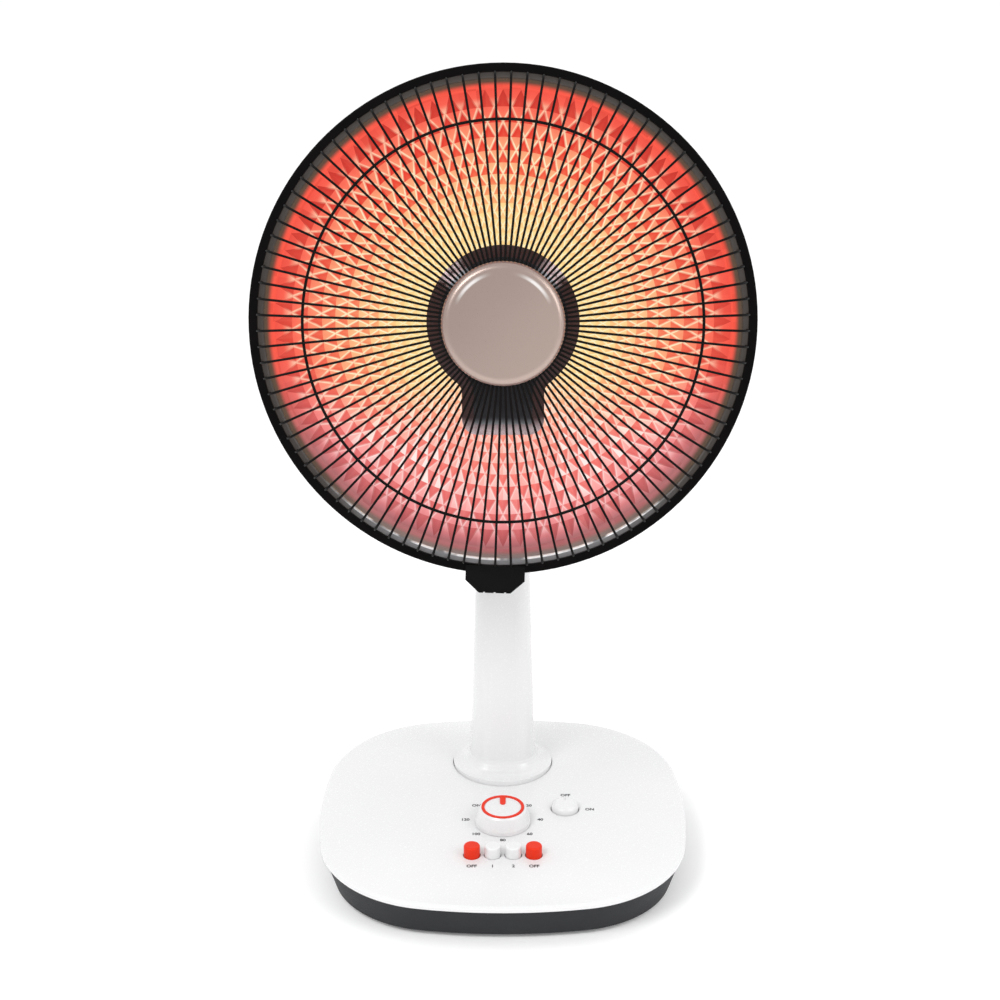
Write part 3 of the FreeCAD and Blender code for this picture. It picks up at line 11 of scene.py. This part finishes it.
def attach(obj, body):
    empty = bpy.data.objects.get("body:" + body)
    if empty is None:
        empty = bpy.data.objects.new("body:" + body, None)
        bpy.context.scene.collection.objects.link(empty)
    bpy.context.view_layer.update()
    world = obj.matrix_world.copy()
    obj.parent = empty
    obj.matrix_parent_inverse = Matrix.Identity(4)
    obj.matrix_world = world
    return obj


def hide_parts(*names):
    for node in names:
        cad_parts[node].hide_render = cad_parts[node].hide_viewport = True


# Looks of a carbon heater: a glowing reflector head on a white post and wedge base.
# Metres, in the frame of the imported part: +Z up, front towards -Y.

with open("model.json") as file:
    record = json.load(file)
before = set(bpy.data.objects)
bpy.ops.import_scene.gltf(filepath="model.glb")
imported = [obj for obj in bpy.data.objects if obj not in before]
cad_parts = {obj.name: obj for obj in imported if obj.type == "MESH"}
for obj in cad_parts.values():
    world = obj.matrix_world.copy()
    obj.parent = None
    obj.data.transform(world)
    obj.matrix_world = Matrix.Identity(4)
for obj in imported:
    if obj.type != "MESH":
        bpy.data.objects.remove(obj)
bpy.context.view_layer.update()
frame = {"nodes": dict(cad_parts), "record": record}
nodes = frame["nodes"]

# Where the photograph was taken from
camera_place = (-0.0023, -1.4325, 0.8439)
camera_pitch = 20.3
camera_lens = 69.4
sensor_width = 36.0

# Frames of the head and of the sloping deck, as in the part
pivot_place = (0.0, 0.060, 0.387)
head_tilt = 13.1
pivot_back = 0.110
pivot_drop = 0.058
deck_slope = 2.2906
seam_height = 0.036
head_matrix = (
    Matrix.Translation(pivot_place)
    @ Matrix.Rotation(math.radians(-head_tilt), 4, "X")
    @ Matrix.Translation((0.0, -pivot_back, pivot_drop))
)
head_middle = head_matrix.translation
head_up = head_matrix.to_3x3() @ Vector((0.0, 0.0, 1.0))
deck_matrix = (
    Matrix.Translation((0.0, 0.0, seam_height))
    @ Matrix.Rotation(math.radians(deck_slope), 4, "X")
)

# Reflector
flange_radius = 0.1868
flange_edge = 0.1800
bowl_radius = 0.1725
bowl_rim_depth = 0.016
bowl_depth = 0.072
bowl_sag = bowl_depth - bowl_rim_depth
bowl_sphere = (bowl_radius ** 2 + bowl_sag ** 2) / (2 * bowl_sag)
sheet = 0.0005
diamonds_round = 80
ring_steps = 2 * diamonds_round
diamond_rows = 26
row_ratio = 0.93
diamond_rise = 0.0011

# Radius and depth of the reflector's rolled rim from outside to the bowl; its back starts behind the roll
rim_profile = [
    (flange_radius, 0.0),
    (flange_edge + 0.0006, 0.0),
    (flange_edge - 0.0006, 0.0006),
    (flange_edge - 0.0016, 0.0025),
    (bowl_radius + 0.0012, bowl_rim_depth - 0.003),
]
back_profile = rim_profile[3:]
back_material = 1

# How lit each facet of the reflector looks, from 0 to 1, and how far chance moves it
plain_level = 0.6
inward_levels = (0.8, 0.68)
outward_levels = (0.1, 0.3)
level_chance = 0.12
level_seed = 5

# Glow from the reflector's middle to its rim: shaded facets, lit facets, creases, and the same at the foot
shaded_glow = [
    (0.30, (1.0, 0.70, 0.28)),
    (0.45, (1.0, 0.60, 0.24)),
    (0.55, (0.96, 0.32, 0.13)),
    (0.65, (0.90, 0.08, 0.04)),
    (0.80, (0.80, 0.024, 0.016)),
    (0.92, (0.64, 0.032, 0.023)),
    (1.00, (0.56, 0.035, 0.025)),
]
lit_glow = [
    (0.30, (1.0, 0.80, 0.37)),
    (0.50, (1.0, 0.74, 0.32)),
    (0.62, (1.0, 0.60, 0.29)),
    (0.80, (1.0, 0.35, 0.19)),
    (0.92, (1.0, 0.17, 0.11)),
    (1.00, (0.92, 0.095, 0.065)),
]
crease_glow = [(0.45, (1.0, 0.98, 0.66)), (0.75, (1.0, 0.92, 0.60)), (1.00, (1.0, 0.46, 0.32))]
shaded_foot = [
    (0.45, (0.97, 0.28, 0.19)),
    (0.75, (0.84, 0.10, 0.09)),
    (0.88, (0.68, 0.10, 0.10)),
    (1.00, (0.32, 0.07, 0.08)),
]
lit_foot = [
    (0.45, (1.0, 0.50, 0.38)),
    (0.75, (1.0, 0.50, 0.45)),
    (0.88, (1.0, 0.40, 0.40)),
    (0.95, (0.82, 0.24, 0.26)),
    (1.00, (0.40, 0.15, 0.16)),
]
crease_foot = (1.0, 0.92, 0.88, 1.0)

# Rings of the reflector where the creases fade, the glow ends at bare metal and a painted highlight streak
# runs on the rim
crease_fade = (0.160, 0.168)
glow_end = (0.1742, 0.1776)
rim_highlight_start = (0.1785, 0.1791)
rim_highlight_end = (0.1800, 0.1806)

# Painted highlight on the hub's edge, painted reflection on the shield's foot and painted shadow under the
# cover's overhang
hub_highlight_start = (0.0354, 0.0368)
hub_highlight_end = (0.0374, 0.0394)
shield_foot_reflection = (-0.081, -0.068)
overhang_shadow_depth = (0.0006, 0.0018)

# Dial marks on the deck
dial_y = -0.0315
dial_radius = 0.0309
dial_marks = ["20", "40", "60", "80", "100", "120", "ON"]
dial_step = 45.0
button_pitch = 0.0165
button_mark_y = -0.0993
button_marks = ["OFF", "1", "2", "OFF"]
selector_marks = [("OFF", 0.0527, 0.0066), ("ON", 0.0722, -0.0157)]
mark_size = 0.0047
mark_bold = 0.00014
ink_thickness = 0.00005
above_deck = 0.1

# Studio: lights with place, size and power, the sky from front to back, a floor that shines a little
light_aim = (0.0, 0.0, 0.3)
lights = [
    ("key_light", (-1.2, -1.6, 2.2), 1.2, 30.0),
    ("fill_light", (1.6, -1.2, 1.6), 1.4, 14.0),
]
sky_stops = [(0.25, (0.74, 0.74, 0.75)), (0.62, (1.08, 1.08, 1.08))]
floor_reach = 60.0
floor_shine = 0.12


# Node trees

class Signal:
    """The output of a node; sums and products of signals add Math nodes."""

    def __init__(self, wiring, socket):
        self.wiring = wiring
        self.socket = socket

    def maths(self, operation, *values):
        return self.wiring.node("ShaderNodeMath", {"operation": operation}, dict(enumerate(values)))

    def __add__(self, other):
        return self.maths("ADD", self, other)

    def __radd__(self, other):
        return self.maths("ADD", other, self)

    def __sub__(self, other):
        return self.maths("SUBTRACT", self, other)

    def __rsub__(self, other):
        return self.maths("SUBTRACT", other, self)

    def __mul__(self, other):
        return self.maths("MULTIPLY", self, other)

    def __rmul__(self, other):
        return self.maths("MULTIPLY", other, self)

    def __truediv__(self, other):
        return self.maths("DIVIDE", self, other)

    def between(self, low, high):
        """0 below low, 1 above high, and a smooth step from one to the other."""
        settings = {"interpolation_type": "SMOOTHSTEP"}
        sockets = {"Value": self, "From Min": low, "From Max": high}
        return self.wiring.node("ShaderNodeMapRange", settings, sockets)


class Wiring:
    """A node tree with one main shader and a method that adds any other node."""

    def __init__(self, owner, shader):
        owner.use_nodes = True
        self.tree = owner.node_tree
        self.shader = self.tree.nodes[shader]

    def put(self, socket, value):
        if isinstance(value, Signal):
            self.tree.links.new(value.socket, socket)
        else:
            socket.default_value = value

    def node(self, kind, settings=None, sockets=None, output=0):
        """Adds a node of a kind with its settings, fills its sockets and gives one of its outputs."""
        made = self.tree.nodes.new(kind)
        for key, value in (settings or {}).items():
            if key == "stops":
                self.set_stops(made.color_ramp, value)
            else:
                setattr(made, key, value)
        for key, value in (sockets or {}).items():
            self.put(made.inputs[key], value)
        return Signal(self, made.outputs[output])

    def set_stops(self, ramp, stops):
        while len(ramp.elements) < len(stops):
            ramp.elements.new(1.0)
        for element, (place, colour) in zip(ramp.elements, stops):
            element.position = place
            element.color = (*colour, 1.0)

    def set(self, **values):
        """Sets the shader's own sockets; an underscore in a name stands for a space."""
        for key, value in values.items():
            self.put(self.shader.inputs[key.replace("_", " ")], value)

    def place(self):
        return self.node("ShaderNodeTexCoord", output="Object")

    def split(self, vector):
        """The x, y and z of a vector."""
        return [self.node("ShaderNodeSeparateXYZ", None, {0: vector}, output=axis) for axis in range(3)]

    def ramp(self, share, stops):
        """A colour that runs through the stops as the share grows."""
        return self.node("ShaderNodeValToRGB", {"stops": stops}, {0: share})

    def noise(self, scale, detail=2.0):
        sockets = {"Vector": self.place(), "Scale": scale, "Detail": detail}
        return self.node("ShaderNodeTexNoise", None, sockets, output="Fac")

    def blend(self, share, first, second):
        """A colour between two others, or between a colour and a signal."""
        settings = {"data_type": "RGBA"}
        return self.node("ShaderNodeMix", settings, {0: share, 6: first, 7: second}, output=2)

    def attribute(self, name):
        return self.node("ShaderNodeAttribute", {"attribute_name": name}, output="Fac")

    def bump(self, height, strength, distance):
        sockets = {"Strength": strength, "Distance": distance, "Height": height}
        return self.node("ShaderNodeBump", None, sockets)


class Finish(Wiring):
    """A material with one Principled shader."""

    def __init__(self, name):
        self.material = bpy.data.materials.new(name)
        super().__init__(self.material, "Principled BSDF")

    def head_place(self):
        """How far a point of a head piece lies to the right of the head's middle, above it and from it."""
        across = self.split(self.place())[0]
        settings = {"operation": "DOT_PRODUCT"}
        up = self.node("ShaderNodeVectorMath", settings, {0: self.place(), 1: head_up}, output="Value")
        up = up - head_middle.dot(head_up)
        return across, up, self.distance(across, up)

    def distance(self, across, up):
        return self.node("ShaderNodeMath", {"operation": "SQRT"}, {0: across * across + up * up})


def rgb(red, green, blue):
    return (red, green, blue, 1.0)


# Finishes

def white_plastic():
    finish = Finish("white_plastic")
    cloud = finish.noise(9.0, 3.0)
    grain = finish.noise(900.0)
    colour = finish.blend(cloud, rgb(0.72, 0.72, 0.722), rgb(0.76, 0.76, 0.762))
    finish.set(Base_Color=colour, Roughness=0.2 + grain * 0.12, Coat_Weight=0.25, Coat_Roughness=0.08,
               Specular_IOR_Level=0.5, Normal=finish.bump(grain, 0.06, 0.0004))
    return finish.material


def grey_skirt():
    finish = Finish("grey_skirt")
    grain = finish.noise(1600.0)
    cloud = finish.noise(14.0, 3.0)
    _, backward, height = finish.split(finish.place())
    below_seam = seam_height + math.tan(math.radians(deck_slope)) * backward - height
    # Painted shadow: a thin dark line just under the cover's overhang
    overhang_shadow_line = 1 - below_seam.between(*overhang_shadow_depth)
    colour = finish.blend(cloud, rgb(0.010, 0.011, 0.013), rgb(0.016, 0.017, 0.020))
    colour = finish.blend(overhang_shadow_line, colour, rgb(0.002, 0.002, 0.002))
    finish.set(Base_Color=colour, Roughness=0.48 + grain * 0.2, Specular_IOR_Level=0.3,
               Normal=finish.bump(grain, 0.35, 0.0005))
    return finish.material


def black_moulding():
    finish = Finish("black_moulding")
    grain = finish.noise(1300.0)
    colour = finish.blend(finish.noise(20.0), rgb(0.002, 0.002, 0.002), rgb(0.005, 0.005, 0.005))
    finish.set(Base_Color=colour, Roughness=0.42 + grain * 0.2, Specular_IOR_Level=0.06,
               Normal=finish.bump(grain, 0.3, 0.0004))
    return finish.material


def black_enamel():
    finish = Finish("black_enamel")
    ripple = finish.noise(160.0, 1.0)
    colour = finish.blend(finish.noise(30.0), rgb(0.002, 0.002, 0.002), rgb(0.005, 0.004, 0.004))
    finish.set(Base_Color=colour, Roughness=0.3 + finish.noise(60.0) * 0.12, Specular_IOR_Level=0.035,
               Normal=finish.bump(ripple, 0.08, 0.001))
    return finish.material


def wire_enamel():
    finish = Finish("wire_enamel")
    ripple = finish.noise(420.0, 1.0)
    colour = finish.blend(finish.noise(60.0), rgb(0.002, 0.002, 0.002), rgb(0.005, 0.004, 0.004))
    finish.set(Base_Color=colour, Roughness=0.35 + ripple * 0.15, Specular_IOR_Level=0.08,
               Normal=finish.bump(ripple, 0.1, 0.0006))
    return finish.material


def hub_silver():
    finish = Finish("hub_silver")
    across, up, reach = finish.head_place()
    fleck = finish.noise(2600.0)
    # Painted shade: darker towards the hub's upper left, lighter towards its lower right
    hub_painted_shade = (across - up + 0.012 * finish.noise(30.0)).between(-0.055, 0.065)
    colour = finish.blend(hub_painted_shade, rgb(0.345, 0.265, 0.234), rgb(0.42, 0.325, 0.284))
    rise = up / reach
    # Painted highlight: a thin bright crescent near the hub's edge on its upper sides
    hub_highlight = rise.between(0.35, 0.75) * (1 - rise.between(0.80, 0.99))
    hub_highlight = hub_highlight * reach.between(*hub_highlight_start) * (1 - reach.between(*hub_highlight_end))
    colour = finish.blend(0.8 * hub_highlight, colour, rgb(1.0, 0.97, 0.95))
    finish.set(Base_Color=colour, Metallic=0.6, Roughness=0.24 + fleck * 0.12,
               Normal=finish.bump(fleck, 0.1, 0.0003))
    return finish.material


def dark_mirror():
    finish = Finish("dark_mirror")
    _, up, reach = finish.head_place()
    waves = finish.noise(26.0)
    colour = finish.blend(finish.noise(60.0), rgb(0.018, 0.018, 0.021), rgb(0.050, 0.050, 0.056))
    rise = up / reach
    # Painted highlights on the shield's upper sides, broken up by noise
    shield_highlight = rise.between(0.48, 0.66) * (1 - rise.between(0.72, 0.88))
    shield_highlight = shield_highlight * finish.noise(110.0).between(0.3, 0.6)
    # Painted reflection: the shield's foot is lighter
    foot = 1 - (up + 0.004 * waves).between(*shield_foot_reflection)
    colour = finish.blend(shield_highlight, colour, rgb(0.85, 0.92, 1.0))
    colour = finish.blend(foot * (0.5 + 0.5 * finish.noise(140.0)), colour, rgb(0.72, 0.75, 0.78))
    finish.set(Base_Color=colour, Metallic=0.3, Roughness=0.25 + finish.noise(90.0) * 0.15,
               Specular_IOR_Level=0.2, Normal=finish.bump(waves, 0.15, 0.004))
    return finish.material


def bright_creases(finish, ring, facet, ridge):
    """How bright the painted highlights on the creases round the diamonds are: most beside lit facets, and
    none at the rim.
    """
    flicker = 0.65 + 0.35 * finish.noise(130.0).between(0.38, 0.58)
    line = ridge.between(0.75, 0.93) * (1 - ring.between(*crease_fade)) * flicker
    return line * (0.55 + 0.45 * facet.between(0.4, 0.6))


def facet_glow(finish, ring, rise):
    """The painted glow of the diamonds with painted light and shade on their facets: cream by the middle,
    red outside, pink with painted glints towards the foot.
    """
    share = ring / bowl_radius
    facet = finish.attribute("facet")
    ridge = finish.attribute("ridge")
    foot = 1 - (rise - 0.8 * (share - 0.6)).between(-0.95, -0.38)
    shaded = finish.blend(foot, finish.ramp(share, shaded_glow), finish.ramp(share, shaded_foot))
    lit = finish.blend(foot, finish.ramp(share, lit_glow), finish.ramp(share, lit_foot))
    crease = finish.blend(foot, finish.ramp(share, crease_glow), crease_foot)
    # Painted light and shade: each facet mixes its shaded and lit glow by its level, softer at the sides
    # and the foot
    soft = 0.25 * (1 - rise.between(-0.1, 0.8)) * (1 - 0.6 * foot)
    level = 0.5 + (facet.between(0.3, 0.65) - 0.5) * (0.6 + 0.4 * ridge)
    level = level * (1 - soft) + soft
    # Painted glints on some lit facets towards the foot
    painted_glint = facet.between(0.70, 0.86) * foot * (1 - share.between(0.80, 0.92))
    painted_glint = painted_glint * (0.3 + 0.55 * rise.between(-0.99, -0.90))
    line = bright_creases(finish, ring, facet, ridge) * (1 - 0.6 * foot)
    bright = line * (1 - painted_glint) + painted_glint
    return finish.blend(bright, finish.blend(level, shaded, lit), crease)


def rim_metal(finish, ring, rise):
    """The bare metal of the rim: dim in painted shade, but lighter as a painted reflection, with a broken
    painted highlight streak, on its low side.
    """
    # Painted reflection: the low side of the rim is lighter and carries the painted highlight streak
    low_side = 1 - rise.between(-0.96, -0.62)
    rim_highlight_streak = ring.between(*rim_highlight_start) * (1 - ring.between(*rim_highlight_end)) * low_side
    rim_highlight_streak = rim_highlight_streak * finish.noise(60.0).between(0.40, 0.55)
    band = finish.blend(low_side, rgb(0.034, 0.029, 0.026), rgb(0.20, 0.20, 0.21))
    return finish.blend(rim_highlight_streak, band, rgb(0.95, 0.95, 0.96))


def glowing_reflector():
    """Embossed aluminium with the lamp's light on it painted as an emitted glow, with a bare rim."""
    finish = Finish("glowing_reflector")
    across, _, up = finish.split(finish.place())
    ring = finish.distance(across, up)
    rise = up / ring
    bare = ring.between(*glow_end)
    glow = finish.blend(bare, facet_glow(finish, ring, rise), rgb(0.028, 0.023, 0.020))
    metal = finish.blend(bare, rgb(0.04, 0.016, 0.012), rim_metal(finish, ring, rise))
    finish.set(Base_Color=metal, Metallic=1 - 0.75 * bare, Roughness=0.22 + 0.2 * finish.noise(300.0),
               Emission_Color=glow, Emission_Strength=1.0)
    return finish.material


def quartz():
    finish = Finish("quartz")
    haze = finish.noise(40.0)
    colour = finish.blend(haze, rgb(1.0, 0.97, 0.93), rgb(0.96, 0.92, 0.88))
    finish.set(Base_Color=colour, Roughness=0.03 + haze * 0.05, Transmission_Weight=0.95, IOR=1.46)
    return finish.material


def hot_carbon():
    finish = Finish("hot_carbon")
    weave = finish.noise(1500.0)
    glow = finish.blend(weave, rgb(1.0, 0.32, 0.08), rgb(1.0, 0.55, 0.20))
    finish.set(Base_Color=rgb(0.05, 0.04, 0.04), Roughness=0.8, Emission_Color=glow, Emission_Strength=6.0)
    return finish.material


def porcelain():
    finish = Finish("porcelain")
    grain = finish.noise(700.0, 3.0)
    colour = finish.blend(finish.noise(60.0), rgb(0.78, 0.75, 0.69), rgb(0.86, 0.84, 0.79))
    finish.set(Base_Color=colour, Roughness=0.6 + grain * 0.2, Normal=finish.bump(grain, 0.2, 0.0003))
    return finish.material


def zinc_plate():
    finish = Finish("zinc_plate")
    spangle = finish.node("ShaderNodeTexVoronoi", None, {"Vector": finish.place(), "Scale": 260.0})
    colour = finish.blend(spangle, rgb(0.50, 0.50, 0.52), rgb(0.66, 0.66, 0.66))
    finish.set(Base_Color=colour, Metallic=1.0, Roughness=0.28 + 0.15 * finish.noise(220.0))
    return finish.material


def screw_steel():
    finish = Finish("screw_steel")
    turned = finish.noise(1100.0)
    colour = finish.blend(turned, rgb(0.42, 0.42, 0.43), rgb(0.58, 0.57, 0.56))
    finish.set(Base_Color=colour, Metallic=1.0, Roughness=0.25 + 0.2 * turned)
    return finish.material


def red_plastic():
    finish = Finish("red_plastic")
    grain = finish.noise(1000.0)
    colour = finish.blend(finish.noise(70.0), rgb(0.68, 0.022, 0.002), rgb(0.76, 0.028, 0.004))
    finish.set(Base_Color=colour, Roughness=0.35 + grain * 0.15, Specular_IOR_Level=0.25,
               Normal=finish.bump(grain, 0.08, 0.0003))
    return finish.material


def inner_plastic():
    finish = Finish("inner_plastic")
    grain = finish.noise(1200.0)
    colour = finish.blend(finish.noise(40.0), rgb(0.30, 0.30, 0.29), rgb(0.38, 0.38, 0.37))
    finish.set(Base_Color=colour, Roughness=0.5 + grain * 0.2, Normal=finish.bump(grain, 0.2, 0.0003))
    return finish.material


def black_rubber():
    finish = Finish("black_rubber")
    grain = finish.noise(1800.0, 3.0)
    colour = finish.blend(finish.noise(80.0), rgb(0.012, 0.012, 0.012), rgb(0.024, 0.024, 0.024))
    finish.set(Base_Color=colour, Roughness=0.7 + grain * 0.2, Normal=finish.bump(grain, 0.3, 0.0003))
    return finish.material


def glass_sleeve():
    finish = Finish("glass_sleeve")
    braid = finish.node("ShaderNodeTexWave", {"bands_direction": "DIAGONAL"},
                        {"Vector": finish.place(), "Scale": 420.0, "Distortion": 2.0}, output="Fac")
    colour = finish.blend(braid, rgb(0.55, 0.53, 0.48), rgb(0.74, 0.72, 0.66))
    finish.set(Base_Color=colour, Roughness=0.75, Normal=finish.bump(braid, 0.4, 0.0004))
    return finish.material


def mark_ink():
    finish = Finish("mark_ink")
    wear = finish.noise(900.0, 3.0)
    colour = finish.blend(wear, rgb(0.015, 0.015, 0.016), rgb(0.05, 0.05, 0.052))
    finish.set(Base_Color=colour, Roughness=0.45 + wear * 0.2)
    return finish.material


def dress_nodes():
    """Gives every CAD node the finish of its material slot."""
    plated = zinc_plate()
    finishes = {
        "white_plastic": white_plastic(),
        "grey_plastic": grey_skirt(),
        "black_plastic": black_moulding(),
        "black_paint": black_enamel(),
        "wire_paint": wire_enamel(),
        "hub_silver": hub_silver(),
        "dish_metal": plated,
        "mirror_steel": dark_mirror(),
        "quartz": quartz(),
        "carbon": hot_carbon(),
        "porcelain": porcelain(),
        "zinc_steel": plated,
        "screw_steel": screw_steel(),
        "red_plastic": red_plastic(),
        "inner_plastic": inner_plastic(),
        "black_rubber": black_rubber(),
        "lead_sleeve": glass_sleeve(),
    }
    for subpart in frame["record"]["subparts"]:
        mesh = nodes[subpart["node"]].data
        mesh.materials.clear()
        mesh.materials.append(finishes[subpart["material_slot"]])
    return finishes


# Pieces

def add_mesh(name, mesh, matrix, material):
    piece = bpy.data.objects.new(name, mesh)
    piece.matrix_world = matrix
    bpy.context.scene.collection.objects.link(piece)
    mesh.materials.append(material)
    return piece


def row_place(row):
    """Radius and depth of a row of diamonds on the sphere of the bowl."""
    radius = bowl_radius * row_ratio ** row
    return radius, bowl_depth - bowl_sphere + math.sqrt(bowl_sphere ** 2 - radius ** 2)


def raised_places(row):
    """Every second place round a row; the next row has those between."""
    return range((row + 1) % 2, ring_steps, 2)


class DishShape:
    """The reflector while it is built: rings of vertices and the faces between them."""

    def __init__(self):
        self.shape = bmesh.new()
        self.ridge = self.shape.verts.layers.float.new("ridge")
        self.facet = self.shape.faces.layers.float.new("facet")
        self.chance = random.Random(level_seed)

    def ring(self, radius, depth, raised=()):
        """A ring of vertices, the raised ones a little forward of the others."""
        verts = []
        for index in range(ring_steps):
            angle = 2 * math.pi * index / ring_steps
            out = depth - (diamond_rise * radius / bowl_radius if index in raised else 0.0)
            vert = self.shape.verts.new((radius * math.sin(angle), out, radius * math.cos(angle)))
            vert[self.ridge] = 0.0 if index in raised else 1.0
            verts.append(vert)
        return verts

    def lit_face(self, corners, level):
        face = self.shape.faces.new(corners)
        face[self.facet] = level + self.chance.uniform(-level_chance, level_chance)

    def diamonds(self, rows, row):
        """The facets round the middles of a row: two towards the next row and two towards the last one."""
        inward = inward_levels if row else (plain_level, plain_level)
        for index in raised_places(row):
            before = rows[row][index - 1]
            middle = rows[row][index]
            after = rows[row][(index + 1) % ring_steps]
            if row + 1 < diamond_rows:
                tip = rows[row + 1][index]
                self.lit_face([before, middle, tip], inward[0])
                self.lit_face([middle, after, tip], inward[1])
            if row > 0:
                tip = rows[row - 1][index]
                self.lit_face([middle, before, tip], outward_levels[0])
                self.lit_face([after, middle, tip], outward_levels[1])

    def front(self):
        """A smooth rolled rim round a bowl of embossed diamonds in rows that shrink inwards."""
        rings = [self.ring(radius, depth) for radius, depth in rim_profile]
        rows = []
        for row in range(diamond_rows):
            raised = raised_places(row) if 0 < row < diamond_rows - 1 else ()
            rows.append(self.ring(*row_place(row), raised))
        smooth = rings + rows[:1]
        for outer, inner in zip(smooth, smooth[1:]):
            for index in range(ring_steps):
                after = (index + 1) % ring_steps
                self.lit_face([outer[index], outer[after], inner[after], inner[index]], plain_level)
        for row in range(diamond_rows):
            self.diamonds(rows, row)
        self.shape.faces.new(rows[-1])

    def back(self):
        """Smooth bare metal, one sheet behind the front."""
        profile = back_profile + [row_place(row) for row in range(diamond_rows)]
        rings = [self.ring(radius, depth + sheet) for radius, depth in profile]
        for outer, inner in zip(rings, rings[1:]):
            for index in range(ring_steps):
                after = (index + 1) % ring_steps
                face = self.shape.faces.new([outer[after], outer[index], inner[index], inner[after]])
                face.material_index = back_material
        self.shape.faces.new(rings[-1]).material_index = back_material

    def to_mesh(self, name):
        bmesh.ops.recalc_face_normals(self.shape, faces=self.shape.faces)
        mesh = bpy.data.meshes.new(name)
        self.shape.to_mesh(mesh)
        self.shape.free()
        for polygon in mesh.polygons:
            polygon.use_smooth = len(polygon.vertices) == 4
        return mesh


def reflector(bare_back):
    """The glowing dish with its back; its first material is the front's, the second one the back's."""
    dish = DishShape()
    dish.front()
    dish.back()
    mesh = dish.to_mesh("reflector")
    piece = add_mesh("reflector", mesh, head_matrix, glowing_reflector())
    mesh.materials.append(bare_back)
    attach(piece, "head")
    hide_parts("dish")


def cover_surface():
    cover = nodes["base_cover"].data
    points = [vert.co.copy() for vert in cover.vertices]
    return BVHTree.FromPolygons(points, [list(polygon.vertices) for polygon in cover.polygons])


def deck_mark(name, words, x, y, surface, ink):
    """Printed letters that lie on the cover at a place of the deck."""
    curve = bpy.data.curves.new(name, "FONT")
    curve.body = words
    curve.size = mark_size
    curve.align_x = "CENTER"
    curve.align_y = "CENTER"
    curve.extrude = ink_thickness
    curve.offset = mark_bold
    text = bpy.data.objects.new(name + "_curve", curve)
    bpy.context.scene.collection.objects.link(text)
    bpy.context.view_layer.update()
    mesh = bpy.data.meshes.new_from_object(text.evaluated_get(bpy.context.evaluated_depsgraph_get()))
    bpy.data.objects.remove(text)
    for vert in mesh.vertices:
        height = vert.co.z
        spot = deck_matrix @ Vector((x + vert.co.x, y + vert.co.y, above_deck))
        hit = surface.ray_cast(spot, Vector((0.0, 0.0, -1.0)))[0]
        vert.co = hit + Vector((0.0, 0.0, height + ink_thickness))
    piece = add_mesh(name, mesh, Matrix.Identity(4), ink)
    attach(piece, "base")


def deck_marks():
    surface = cover_surface()
    ink = mark_ink()
    for index, words in enumerate(dial_marks):
        angle = math.radians(dial_step * (index + 1))
        x = dial_radius * math.sin(angle)
        y = dial_y + dial_radius * math.cos(angle)
        deck_mark("dial_mark_" + str(index + 1), words, x, y, surface, ink)
    middle = (len(button_marks) - 1) / 2
    for index, words in enumerate(button_marks):
        x = (index - middle) * button_pitch
        deck_mark("button_mark_" + str(index + 1), words, x, button_mark_y, surface, ink)
    for index, (words, x, y) in enumerate(selector_marks):
        deck_mark("selector_mark_" + str(index + 1), words, x, y, surface, ink)


# Room

def studio_floor():
    finish = Finish("studio_floor")
    colour = finish.blend(finish.noise(3.0), rgb(0.95, 0.95, 0.95), rgb(0.98, 0.98, 0.98))
    finish.set(Base_Color=colour, Roughness=0.7, Emission_Color=colour, Emission_Strength=floor_shine)
    shape = bmesh.new()
    bmesh.ops.create_grid(shape, x_segments=1, y_segments=1, size=floor_reach)
    mesh = bpy.data.meshes.new("studio_floor")
    shape.to_mesh(mesh)
    shape.free()
    floor = add_mesh("studio_floor", mesh, Matrix.Identity(4), finish.material)


def soft_light(name, place, size, power):
    data = bpy.data.lights.new(name, "AREA")
    data.shape = "DISK"
    data.size = size
    data.energy = power
    light = bpy.data.objects.new(name, data)
    light.location = place
    light.rotation_euler = (Vector(light_aim) - Vector(place)).to_track_quat("-Z", "Y").to_euler()
    bpy.context.scene.collection.objects.link(light)


def studio_sky():
    """White all round behind the heater and dimmer behind the camera."""
    world = bpy.data.worlds.new("studio_sky")
    sky = Wiring(world, "Background")
    backward = sky.split(sky.node("ShaderNodeTexCoord", output="Generated"))[1]
    colour = sky.ramp(backward * 0.5 + 0.5, sky_stops)
    sky.set(Color=colour, Strength=1.0)
    bpy.context.scene.world = world


def studio():
    studio_sky()
    bpy.context.scene.view_settings.view_transform = "Standard"
    for name, place, size, power in lights:
        soft_light(name, place, size, power)


def camera():
    data = bpy.data.cameras.new("camera")
    data.sensor_width = sensor_width
    data.lens = camera_lens
    view = bpy.data.objects.new("camera", data)
    view.location = camera_place
    view.rotation_euler = (math.radians(90.0 - camera_pitch), 0.0, 0.0)
    bpy.context.scene.collection.objects.link(view)
    bpy.context.scene.camera = view


camera()
studio()
studio_floor()
finishes = dress_nodes()
reflector(finishes["dish_metal"])
deck_marks()
